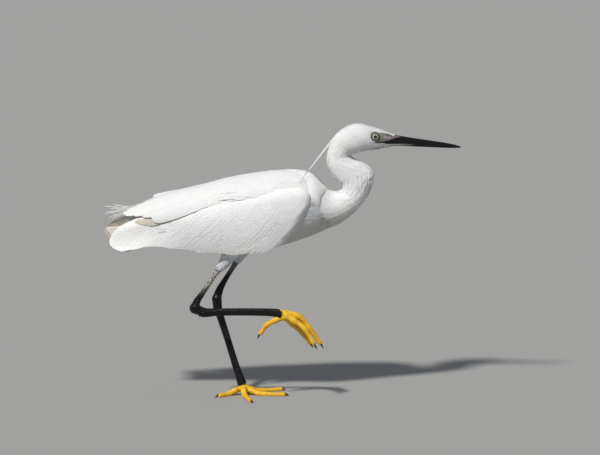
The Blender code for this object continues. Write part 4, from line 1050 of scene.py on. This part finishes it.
def backPlumePaths():
    paths = []
    for ahead, out, up in plumeEnds:
        k = out / 6
        sag = (up - 226) * 0.35
        paths.append(((-90.0, 1.4 * k, 254.5), (-112.0, 2.6 * k, 253.2), (-135.0, 0.4 * out, 247.0),
                      (-160.0, 0.6 * out, 237.5 + 0.3 * sag), (-160.0 + 0.55 * (ahead + 160), 0.8 * out, 229.0 + sag),
                      (ahead, out, up)))
    return np.array(paths)


def makePlumes():
    paths = backPlumePaths()
    shafts = strandVanes(paths, plume["shaftWidth"], 0.6, 16)
    barbs = []
    for path in paths:
        for _ in range(plume["barbs"]):
            place = dice.uniform(2.4, 4.95)
            start = rowsAt(path, np.array(place))
            ahead = unit(rowsAt(path, np.array(place + 0.05)) - start)
            out = unit(np.array((0, dice.normal(0, 1), dice.normal(-0.25, 0.5))))
            length = float(np.interp(place, (2.4, 5.0), plume["barbLength"][::-1])) * dice.uniform(0.6, 1.1)
            curl = dice.normal(0, 0.1, 3)
            steps = [start + (ahead * s + out * 0.26 * s * (1 - 0.35 * s) + curl * s**2 - np.array((0, 0, 0.22)) * s**2)
                     * length for s in (0, 0.33, 0.66, 1.0)]
            room = (steps[-1][0] + 213.5) if steps[-1][0] < -213.5 else 0
            barbs.append([p - np.array((room, 0, 0)) * (i / 3) for i, p in enumerate(steps)])
    barbs = strandVanes(barbs, plume["barbWidth"], 0.16, 6)
    nape = strandVanes(napePlumes, (1.3, 1.7, 1.7, 1.2, 0.6, 0.35), 0.8, 26)

    def flatPlace(sheet):
        return np.tile((0.5, 0.5), (len(sheet["points"]), 1)) + dice.uniform(-0.3, 0.3, (len(sheet["points"]), 2))

    featherPiece("back_plumes", [(shafts, flatPlace(shafts)), (barbs, flatPlace(barbs))], plumeFeather, ("torso",))
    featherPiece("nape_plumes", [(nape, flatPlace(nape))], napeFeather, ("head",))


makePlumes()
print("tail and plumes done")


# Bill

bill = {"root": 122.5, "from": 126.3, "tip": 214.4, "rings": 110, "around": 28, "nostril": (138.0, 314.6),
        "nostrilLength": 3.6, "nostrilHeight": 0.55, "nostrilDepth": 1.5}
# Share of its length, top, line of the mouth, underside, half width
billRows = np.array((
    (0.0, 321.0, 310.8, 304.6, 6.2),
    (0.15, 318.4, 309.8, 305.6, 5.2),
    (0.4, 314.8, 308.3, 304.9, 4.2),
    (0.7, 310.9, 306.5, 303.7, 3.0),
    (0.9, 307.6, 305.0, 303.2, 1.7),
    (1.0, 304.8, 304.2, 303.6, 0.6),
))


def billHalf(upper):
    shape = bmesh.new()
    rings = []
    half = bill["around"] // 2
    for i in range(bill["rings"]):
        place = -0.25 + (i / (bill["rings"] - 1)) * (len(billRows) - 1 + 0.25)
        share, top, mouth, under, wide = rowsAt(billRows, np.array(place))
        ahead = bill["from"] + (bill["tip"] - bill["from"]) * share
        edge = mouth + (0.12 if upper else -0.12)
        deep = max(top - edge, 0.4) if upper else min(under - edge, -0.4)
        arc = np.linspace(0, math.pi, half)
        wide = max(wide, 0.45)
        bend = np.sin(arc) ** 0.8
        outer = np.stack([np.full(half, ahead), wide * np.cos(arc), edge + deep * bend], 1)
        inner = np.linspace(-1, 1, half + 2)[1:-1]
        floor = np.stack([np.full(half, ahead), wide * inner, edge + deep * 0.12 * (1 - inner**2)], 1)
        rings.append(np.vstack([outer, floor]))
    loftPoints(shape, rings)
    bmesh.ops.recalc_face_normals(shape, faces=shape.faces)
    mesh = bpy.data.meshes.new("bill")
    shape.to_mesh(mesh)
    shape.free()
    co, normal = pointsOf(mesh)
    if upper:
        ahead, up = bill["nostril"]
        line = up - 0.09 * (co[:, 0] - ahead)
        slit = bell(co[:, 0] - ahead, bill["nostrilLength"]) * bell(co[:, 2] - line, bill["nostrilHeight"])
        groove = bell(co[:, 2] - line, 1.1) * np.clip((172 - co[:, 0]) / 20, 0, 1) * np.clip((co[:, 0] - 124) / 6, 0, 1)
        outside = np.abs(normal[:, 1]) > 0.3
        co -= normal * ((bill["nostrilDepth"] * slit + 0.32 * groove) * outside)[:, None]
    movePoints(mesh, co)
    mesh.set_sharp_from_angle(angle=math.radians(42))
    return mesh


def billMaterial():
    material, tree, shader = newMaterial("bill_horn", 0.3, 0.18)
    place = objectPlace(tree)
    x, y, z = split(tree, place)
    streak = noise(tree, place, 260, 3, stretch=(0.12, 1, 1))
    black = blend(tree, streak, (0.004, 0.004, 0.005), (0.012, 0.012, 0.014))
    # Lighter grey on the top of the bill near its base: a painted highlight where the top catches the light
    culmenHighlight = maths(tree, "MULTIPLY", fade(tree, x, 0.150, 0.128), fade(tree, z, 0.3155, 0.3195))
    colour = blend(tree, maths(tree, "MULTIPLY", culmenHighlight, 0.5), black, (0.16, 0.155, 0.16))
    mottle = noise(tree, place, 520, 2)
    edge = maths(tree, "ADD", x, maths(tree, "MULTIPLY", mottle, 0.010))
    over = maths(tree, "SUBTRACT", z, maths(tree, "MULTIPLY", maths(tree, "SUBTRACT", x, 0.120), 0.28))
    rose = maths(tree, "MULTIPLY", fade(tree, edge, 0.154, 0.136), fade(tree, over, 0.3108, 0.3122))
    rose = maths(tree, "MULTIPLY", rose, fade(tree, z, 0.3195, 0.3180))
    spots = blend(tree, fade(tree, noise(tree, place, 640, 3), 0.44, 0.6), (0.06, 0.052, 0.052), (0.33, 0.295, 0.29))
    colour = blend(tree, rose, colour, spots)
    pale = maths(tree, "MULTIPLY", fade(tree, edge, 0.168, 0.137), fade(tree, z, 0.3095, 0.3085))
    colour = blend(tree, pale, colour, (0.42, 0.39, 0.34))
    tree.links.new(colour, shader.inputs["Base Color"])
    tree.links.new(maths(tree, "ADD", 0.16, maths(tree, "MULTIPLY", streak, 0.2)), shader.inputs["Roughness"])
    bumpInto(tree, shader, streak, 0.12, 0.5)
    return material


horn = billMaterial()
settle("bill_top", billHalf(True), horn, ("bill_upper",))
settle("bill_bottom", billHalf(False), horn, ("bill_lower",))
print("bill done")


# Eyes and lids

lidProfile = ((5.9, 2.4), (5.5, 3.4), (4.9, 4.05), (4.2, 4.4), (3.8, 4.35), (3.5, 4.0), (3.5, 3.3), (4.4, 1.6),
              (5.7, 1.6))


def eyeCentre(side):
    return Vector((eye["ahead"], side * eye["out"], eye["up"]))


def makeEye(side):
    shape = bmesh.new()
    addBall(shape, eyeCentre(side), eye["radius"], 48, 32)
    mesh = bpy.data.meshes.new("eye")
    shape.to_mesh(mesh)
    shape.free()
    mesh.shade_smooth()
    return mesh


def makeLids():
    shape = bmesh.new()
    for side in (-1, 1):
        axis = eyeAxis(side)
        out = axis.cross(Vector((0, 0, 1))).normalized()
        centre = eyeCentre(side)
        ring = bmesh.ops.create_circle(shape, segments=len(lidProfile), radius=1.0)["verts"]
        for v, (r, h) in zip(ring, lidProfile):
            v.co = (centre + axis * h + out * r) * mm
        edges = list(dict.fromkeys(e for v in ring for e in v.link_edges))
        bmesh.ops.spin(shape, geom=ring + edges, cent=centre * mm, axis=axis, angle=2 * math.pi, steps=64, use_merge=True)
    bmesh.ops.recalc_face_normals(shape, faces=shape.faces)
    mesh = bpy.data.meshes.new("lids")
    shape.to_mesh(mesh)
    shape.free()
    movePoints(mesh, pointsOf(mesh)[0])
    return mesh


def fromEyeAxis(tree):  # distance from the eye's axis and the direction round it, the same on both sides
    place = objectPlace(tree)
    x, y, z = split(tree, place)
    folded = addNode(tree, "ShaderNodeCombineXYZ", {0: x, 1: maths(tree, "ABSOLUTE", y), 2: z}).outputs[0]
    centre = tuple(eyeCentre(1) * mm)
    local = addNode(tree, "ShaderNodeVectorMath", {0: folded, 1: centre}, operation="SUBTRACT").outputs[0]
    cross = addNode(tree, "ShaderNodeVectorMath", {0: local, 1: tuple(eyeAxis(1))}, operation="CROSS_PRODUCT").outputs[0]
    away = addNode(tree, "ShaderNodeVectorMath", {0: cross}, operation="LENGTH").outputs["Value"]
    return away, cross


def eyeMaterial():
    material, tree, shader = newMaterial("eye", 0.25, 0.5)
    shader.inputs["Coat Weight"].default_value = 1.0
    shader.inputs["Coat Roughness"].default_value = 0.02
    away, cross = fromEyeAxis(tree)
    turned = addNode(tree, "ShaderNodeVectorMath", {0: cross}, operation="NORMALIZE").outputs[0]
    rays = noise(tree, turned, 14, 4)
    yellow = blend(tree, fade(tree, rays, 0.35, 0.65), (0.52, 0.51, 0.38), (0.68, 0.68, 0.54))
    outer = fade(tree, away, (eye["iris"] - 0.9) * mm, eye["iris"] * mm)
    yellow = blend(tree, maths(tree, "MULTIPLY", outer, 0.5), yellow, (0.36, 0.33, 0.2))
    colour = blend(tree, fade(tree, away, (eye["pupil"] + 0.16) * mm, (eye["pupil"] - 0.1) * mm), yellow, (0.003, 0.003, 0.004))
    colour = blend(tree, fade(tree, away, (eye["iris"] - 0.1) * mm, (eye["iris"] + 0.2) * mm), colour, (0.02, 0.018, 0.016))
    tree.links.new(colour, shader.inputs["Base Color"])
    return material


def lidMaterial():
    material, tree, shader = newMaterial("eyelid", 0.55, 0.4)
    away, _ = fromEyeAxis(tree)
    place = objectPlace(tree)
    mottle = noise(tree, place, 700, 3)
    pale = blend(tree, mottle, (0.07, 0.075, 0.055), (0.15, 0.16, 0.12))
    colour = blend(tree, fade(tree, away, 3.9 * mm, 3.4 * mm), pale, (0.03, 0.03, 0.028))
    tree.links.new(colour, shader.inputs["Base Color"])
    bumpInto(tree, shader, mottle, 0.2, 0.8)
    return material


ball = eyeMaterial()
for side, name in ((-1, "right"), (1, "left")):
    settle(f"eyeball_{name}", makeEye(side), ball, (f"eye_{name}",))
settle("lids", makeLids(), lidMaterial())
print("eyes done")


# Legs and feet

leg = {"voxel": 0.5, "smoothing": 4, "scute": 3.1, "scuteDepth": 0.16}
legRows = {
    "right": (((-70.5, -19.3, 164.8, 4.6, 4.0), (-75.2, -20.0, 159.6, 3.7, 3.4), (-83.0, -20.0, 149.5, 3.4, 3.0),
               (-93.0, -20.0, 133.6, 3.1, 2.8), (-101.5, -20.0, 121.0, 4.2, 3.8), (-104.4, -20.0, 113.0, 5.6, 4.6)),
              ((-99.0, -20.0, 108.0, 6.4, 4.9), (-91.5, -20.0, 106.3, 5.7, 4.2), (-76.0, -20.0, 107.0, 4.7, 3.3),
               (-45.0, -20.0, 107.2, 4.6, 3.1), (-18.0, -20.0, 106.8, 4.8, 3.4), (-5.5, -20.0, 105.6, 5.3, 4.4),
               (-0.6, -20.0, 103.8, 5.6, 5.6)),
              (-104.3, -20.0, 111.8, 7.2)),
    "left": (((-51.5, 16.0, 167.5, 4.2, 3.8), (-55.0, 16.0, 161.8, 3.6, 3.4), (-62.0, 16.0, 150.4, 2.9, 2.8),
              (-70.4, 15.8, 136.8, 3.5, 3.1), (-75.4, 15.5, 127.0, 4.6, 3.8), (-78.0, 15.3, 119.0, 5.2, 4.4)),
             ((-78.6, 15.2, 117.0, 6.0, 4.8), (-77.2, 15.2, 104.0, 5.4, 4.0), (-74.0, 15.0, 94.0, 4.6, 3.4),
              (-65.4, 14.4, 66.8, 4.2, 3.0), (-56.3, 13.6, 36.8, 4.4, 3.1), (-49.8, 13.1, 17.6, 5.3, 4.4),
              (-48.0, 13.0, 12.4, 5.8, 5.5)),
             (-78.6, 15.2, 116.5, 6.4)),
}


def nearestOn(path, co):  # for each point: millimetres along a path, its place, and the way out from it
    steps = np.vstack([[0.0], np.cumsum(np.linalg.norm(np.diff(path, axis=0), axis=1))[:, None]])[:, 0]
    best = np.empty(len(co), int)
    for low in range(0, len(co), 4000):
        gap = np.linalg.norm(co[low:low + 4000, None] - path[None], axis=2)
        best[low:low + 4000] = gap.argmin(1)
    ahead = unit(np.gradient(path, axis=0))[best]
    away = co - path[best]
    along = steps[best] + (away * ahead).sum(1)
    return along, away - ahead * (away * ahead).sum(1)[:, None], ahead


def denseLine(rows, steps=400):
    rows = np.array(rows, float)
    return rowsAt(rows, np.linspace(0, len(rows) - 1, steps))[:, :3]


def ridge(x, sharp=6.0):  # 0 on flat plates, 1 in the narrow joints between them
    return np.exp(-((x - np.round(x)) * sharp) ** 2)


def makeLeg(name):
    shin, tarsus, heel = legRows[name]
    shape = bmesh.new()
    for rows in (shin, tarsus):
        loftPoints(shape, tubeRings(limbSurface(rows), 0, len(rows) - 1, 40, 28))
    addBall(shape, heel[:3], heel[3] - 0.3)
    addBall(shape, (np.array(heel[:3]) + np.array(tarsus[0][:3])) / 2, min(heel[3], tarsus[0][3]) - 0.4)
    mesh = melt("leg", shape, leg["voxel"], leg["smoothing"])
    co, normal = pointsOf(mesh)
    lower, upper = denseLine(tarsus), denseLine(shin)
    along, away, ahead = nearestOn(lower, co)
    front = unit(np.cross(ahead, (0, 1, 0)))
    facing = (unit(away) * front).sum(1)
    if name == "right":
        facing = -facing
    onTarsus = (along > 8) & (np.linalg.norm(away, axis=1) < 8)
    plates = ridge(along / leg["scute"] + 0.12 * np.sin(along)) * np.clip((np.abs(facing) - 0.1) * 4, 0, 1) * onTarsus
    co -= normal * (leg["scuteDepth"] * plates)[:, None]
    movePoints(mesh, co)
    return mesh


def scaleGroup():  # small rounded scales: a height and a mask of the joints between them
    group, given, out = newGroup("scales", {"Size": 1.6, "Joint": 0.12},
                                 {"Height": "NodeSocketFloat", "Joints": "NodeSocketFloat"})
    place = objectPlace(group)
    per = maths(group, "DIVIDE", 1000.0, given["Size"])
    cells = addNode(group, "ShaderNodeTexVoronoi", {"Vector": place, "Scale": per}, feature="DISTANCE_TO_EDGE").outputs[0]
    joints = addNode(group, "ShaderNodeMapRange", {"Value": cells, "From Min": 0.0, "From Max": given["Joint"],
                                                   "To Min": 1.0, "To Max": 0.0}, interpolation_type="SMOOTHSTEP").outputs[0]
    fine = noise(group, place, 2200, 2)
    group.links.new(joints, out["Joints"])
    group.links.new(maths(group, "SUBTRACT", maths(group, "MULTIPLY", fine, 0.25), joints), out["Height"])
    return group


scales = scaleGroup()


def legMaterial():
    material, tree, shader = newMaterial("leg_skin", 0.3, 0.22)
    place = objectPlace(tree)
    x, y, z = split(tree, place)
    scale = useGroup(tree, scales, Size=1.5, Joint=0.1)
    mottle = noise(tree, place, 180, 4)
    colour = blend(tree, mottle, (0.003, 0.003, 0.004), (0.009, 0.0085, 0.009))
    dust = noise(tree, place, 900, 4)
    mud = maths(tree, "MULTIPLY", fade(tree, dust, 0.42, 0.54), fade(tree, y, -0.012, -0.018))
    mud = maths(tree, "MULTIPLY", mud, fade(tree, z, 0.126, 0.148))
    dried = blend(tree, fade(tree, noise(tree, place, 500, 3), 0.42, 0.58), (0.40, 0.36, 0.31), (0.80, 0.76, 0.70))
    colour = blend(tree, maths(tree, "MULTIPLY", mud, 0.95), colour, dried)
    green = maths(tree, "MULTIPLY", fade(tree, z, 0.144, 0.156), fade(tree, y, 0.0, 0.010))
    colour = blend(tree, maths(tree, "MULTIPLY", green, 0.9), colour, (0.13, 0.14, 0.12))
    colour = blend(tree, maths(tree, "MULTIPLY", scale["Joints"], 0.35), colour, (0.018, 0.017, 0.016))
    tree.links.new(colour, shader.inputs["Base Color"])
    rough = maths(tree, "ADD", 0.12, maths(tree, "MULTIPLY", mottle, 0.2))
    tree.links.new(maths(tree, "ADD", rough, maths(tree, "MULTIPLY", mud, 0.4)), shader.inputs["Roughness"])
    bumpInto(tree, shader, scale["Height"], 0.14, 0.8)
    return material


legSkin = legMaterial()
settle("leg_right", makeLeg("right"), legSkin, ("shin_right", "tarsus_right"))
settle("leg_left", makeLeg("left"), legSkin, ("shin_left", "tarsus_left"))
print("legs done")

foot = {"voxel": 0.42, "smoothing": 3, "joints": 3, "scute": 2.3, "scuteDepth": 0.22, "radii": (3.8, 3.7, 3.4, 3.1, 2.6),
        "ankle": 5.1, "sink": 0.45}
claw = {"length": 8.5, "rise": 0.9, "radius": 1.7, "rings": 14, "around": 14}
toes = {
    "left": (((-49.0, 11.5, 7.6), (-56.5, 8.0, 5.6), (-64.0, 3.5, 2.9), (-75.5, -5.0, 2.2)),
             ((-46.5, 8.5, 8.0), (-46.0, 0.0, 4.8), (-44.0, -11.0, 2.7), (-37.5, -38.0, 2.2)),
             ((-43.5, 12.2, 8.4), (-36.0, 9.0, 5.0), (-25.0, 4.5, 2.6), (2.0, 2.5, 2.1)),
             ((-44.0, 15.6, 7.8), (-37.0, 19.6, 4.8), (-26.0, 25.0, 2.6), (-1.5, 35.0, 2.2))),
    "right": (((3.0, -20.3, 101.4), (-8.0, -20.6, 97.0), (-18.5, -21.0, 91.2), (-25.7, -21.5, 81.5)),
              ((4.0, -17.5, 100.0), (12.5, -15.5, 91.5), (22.5, -13.5, 82.5), (32.9, -12.0, 68.6)),
              ((3.0, -20.0, 106.0), (20.0, -19.5, 101.4), (33.2, -19.0, 86.8), (45.4, -18.5, 69.4)),
              ((4.5, -22.5, 103.0), (14.5, -25.0, 97.2), (26.5, -27.0, 88.6), (38.1, -28.5, 70.2))),
}
clawHooks = {"left": ((0, 0, -1),) * 4,
             "right": ((-0.15, 0, -1.0), (0.35, 0, -0.94), (0.35, 0, -0.94), (0.3, 0, -0.95))}


def toePath(name, path):
    return [(x, y, z - foot["sink"] if name == "left" and z < 3 else z) for x, y, z in path]


def toeRings(path):
    rings = []
    path = np.array(path)
    for share in np.linspace(0, 1, 46):
        place = np.array(share * (len(path) - 1))
        centre = rowsAt(path, place)
        ahead = unit(rowsAt(path, place + 0.02) - rowsAt(path, place - 0.02))
        side = unit(np.cross(ahead, (0, 0, 1)))
        over = np.cross(side, ahead)
        radius = np.interp(share, np.linspace(0, 1, len(foot["radii"])), foot["radii"])
        radius *= 1 + 0.09 * math.cos(2 * math.pi * foot["joints"] * share)
        turn = np.linspace(0, 2 * np.pi, 28, endpoint=False)[:, None]
        rings.append(centre + side * np.cos(turn) * radius + over * np.sin(turn) * radius)
    return rings


def makeFoot(name):
    tarsus = np.array(legRows[name][1])
    end, before = tarsus[-2, :3], tarsus[-3, :3]
    down = unit(end - before)
    ankle = end + down * 8.8
    shape = bmesh.new()
    rows = ((*(end - down * 3.0), 4.6, 3.7), (*(end + down * 0.3), 5.2, 4.2), (*ankle, 4.6, 4.2))
    loftPoints(shape, tubeRings(limbSurface(rows), 0, 2, 12, 28))
    addBall(shape, ankle, foot["ankle"])
    paths = [toePath(name, path) for path in toes[name]]
    for path in paths:
        loftPoints(shape, toeRings(path))
        addBall(shape, path[-1], foot["radii"][-1] * 1.02, 20, 12)
    mesh = melt("foot", shape, foot["voxel"], foot["smoothing"])
    co, normal = pointsOf(mesh)
    plates, away = np.zeros(len(co)), np.full(len(co), 99.0)
    for path in paths:
        along, out, ahead = nearestOn(denseLine(path, 160), co)
        gap = np.linalg.norm(out, axis=1)
        side = unit(np.cross(ahead, (0, 0, 1)))
        above = (unit(out) * np.cross(side, ahead)).sum(1)
        closer = gap < away
        away = np.minimum(away, gap)
        pads = 0.5 + 0.5 * np.cos(along / 2.0 * math.pi)
        mine = np.where(above > -0.1, ridge(along / foot["scute"], 5.0) * np.clip((above + 0.1) * 3, 0, 1),
                        0.6 * pads * np.clip(-above * 2, 0, 1))
        plates = np.where(closer, mine, plates)
    co -= normal * (foot["scuteDepth"] * plates * (away < 4.5))[:, None]
    if name == "left":
        co[:, 2] = np.maximum(co[:, 2], 0.0)
    movePoints(mesh, co)
    return mesh


def makeClaws():
    shape = bmesh.new()
    for name in ("left", "right"):
        for path, hook in zip(toes[name], clawHooks[name]):
            path = np.array(toePath(name, path))
            last = np.array(len(path) - 1.0)
            end = rowsAt(path, last)
            ahead = unit(end - rowsAt(path, last - 0.02))
            end = end + np.array((0, 0, claw["rise"] if name == "left" else 0)) - ahead * 0.6
            down = unit(np.array(hook, float))
            side = unit(np.cross(ahead, down))
            rings = []
            for share in np.linspace(0, 1, claw["rings"]):
                centre = end + ahead * claw["length"] * (share - 0.18 * share**2) + down * claw["length"] * 0.26 * share**2
                facing = unit(ahead * (1 - 0.36 * share) + down * 0.5 * share)
                radius = claw["radius"] * (1 - share) ** 0.8 + 0.16
                turn = np.linspace(0, 2 * np.pi, claw["around"], endpoint=False)[:, None]
                rings.append(centre + side * np.cos(turn) * radius * 0.78 + np.cross(facing, side) * np.sin(turn) * radius)
            loftPoints(shape, rings)
    bmesh.ops.recalc_face_normals(shape, faces=shape.faces)
    mesh = bpy.data.meshes.new("claws")
    shape.to_mesh(mesh)
    shape.free()
    movePoints(mesh, np.maximum(pointsOf(mesh)[0], (-1e9, -1e9, 0.05)))
    return mesh


def toeMaterial():
    material, tree, shader = newMaterial("toe_skin", 0.45, 0.3)
    place = objectPlace(tree)
    scale = useGroup(tree, scales, Size=1.1, Joint=0.14)
    mottle = noise(tree, place, 120, 4)
    colour = blend(tree, fade(tree, mottle, 0.35, 0.65), (0.90, 0.46, 0.012), (0.96, 0.64, 0.035))
    patch = noise(tree, place, 420, 3)
    colour = blend(tree, maths(tree, "MULTIPLY", fade(tree, patch, 0.55, 0.7), 0.55), colour, (0.62, 0.25, 0.02))
    colour = blend(tree, maths(tree, "MULTIPLY", scale["Joints"], 0.5), colour, (0.42, 0.17, 0.02))
    tree.links.new(colour, shader.inputs["Base Color"])
    tree.links.new(maths(tree, "ADD", 0.32, maths(tree, "MULTIPLY", patch, 0.25)), shader.inputs["Roughness"])
    bumpInto(tree, shader, scale["Height"], 0.12, 0.8)
    return material


def clawMaterial():
    material, tree, shader = newMaterial("claw_horn", 0.35, 0.5)
    streak = noise(tree, objectPlace(tree), 500, 3)
    tree.links.new(blend(tree, streak, (0.010, 0.009, 0.009), (0.035, 0.03, 0.028)), shader.inputs["Base Color"])
    bumpInto(tree, shader, streak, 0.08, 0.5)
    return material


toeSkin = toeMaterial()
settle("foot_right_toes", makeFoot("right"), toeSkin, ("foot_right",))
settle("foot_left_toes", makeFoot("left"), toeSkin, ("foot_left",))
settle("claws", makeClaws(), clawMaterial(),
       [f"claw_{side}_{i}" for side in ("left", "right") for i in range(1, 5)])
print("feet done")


# Floor, light and camera

studio = {"floorWide": 60.0, "floorTone": 0.35, "keyPower": 3.15, "keyWidth": 5.0, "keyHigh": 50.0, "keyTurn": 237.0,
          "fill": 0.28, "aim": (0.0216, 0.0, 0.2065), "far": 10.0, "lens": 500.0, "camHigh": 10.0}


def makeFloor():
    shape = bmesh.new()
    bmesh.ops.create_grid(shape, x_segments=1, y_segments=1, size=studio["floorWide"] / 2)
    mesh = bpy.data.meshes.new("floor")
    shape.to_mesh(mesh)
    shape.free()
    material, tree, shader = newMaterial("floor", 0.85, 0.2)
    grain = noise(tree, objectPlace(tree), 60, 4)
    tone = studio["floorTone"]
    tree.links.new(blend(tree, grain, (tone, tone, tone * 0.99), (tone * 1.02,) * 3), shader.inputs["Base Color"])
    mesh.materials.append(material)
    floor = bpy.data.objects.new("floor", mesh)
    bpy.context.scene.collection.objects.link(floor)
    floor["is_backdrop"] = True


def lightAndCamera():
    scene = bpy.context.scene
    sun = bpy.data.lights.new("key", "SUN")
    sun.energy, sun.angle = studio["keyPower"], math.radians(studio["keyWidth"])
    sun.color = (1.0, 0.97, 0.93)
    key = bpy.data.objects.new("key", sun)
    high, turn = math.radians(studio["keyHigh"]), math.radians(studio["keyTurn"])
    towards = Vector((math.cos(high) * math.cos(turn), math.cos(high) * math.sin(turn), math.sin(high)))
    key.rotation_euler = towards.to_track_quat("Z", "Y").to_euler()
    scene.collection.objects.link(key)
    world = bpy.data.worlds.new("studio")
    world.use_nodes = True
    background = world.node_tree.nodes["Background"]
    background.inputs["Color"].default_value = (0.86, 0.92, 1.0, 1.0)
    background.inputs["Strength"].default_value = studio["fill"]
    scene.world = world
    lens = bpy.data.cameras.new("camera")
    lens.lens, lens.sensor_width = studio["lens"], 36.0
    lens.clip_end = 100.0
    camera = bpy.data.objects.new("camera", lens)
    high = math.radians(studio["camHigh"])
    away = Vector((0, -math.cos(high), math.sin(high)))
    camera.location = Vector(studio["aim"]) + away * studio["far"]
    camera.rotation_euler = away.to_track_quat("Z", "Y").to_euler()
    scene.collection.objects.link(camera)
    scene.camera = camera
    scene.view_settings.view_transform = "Standard"


makeFloor()
lightAndCamera()
print("floor, light and camera done")

[[list(map(float, corner)) for corner in box] for box in (cadBox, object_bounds())]
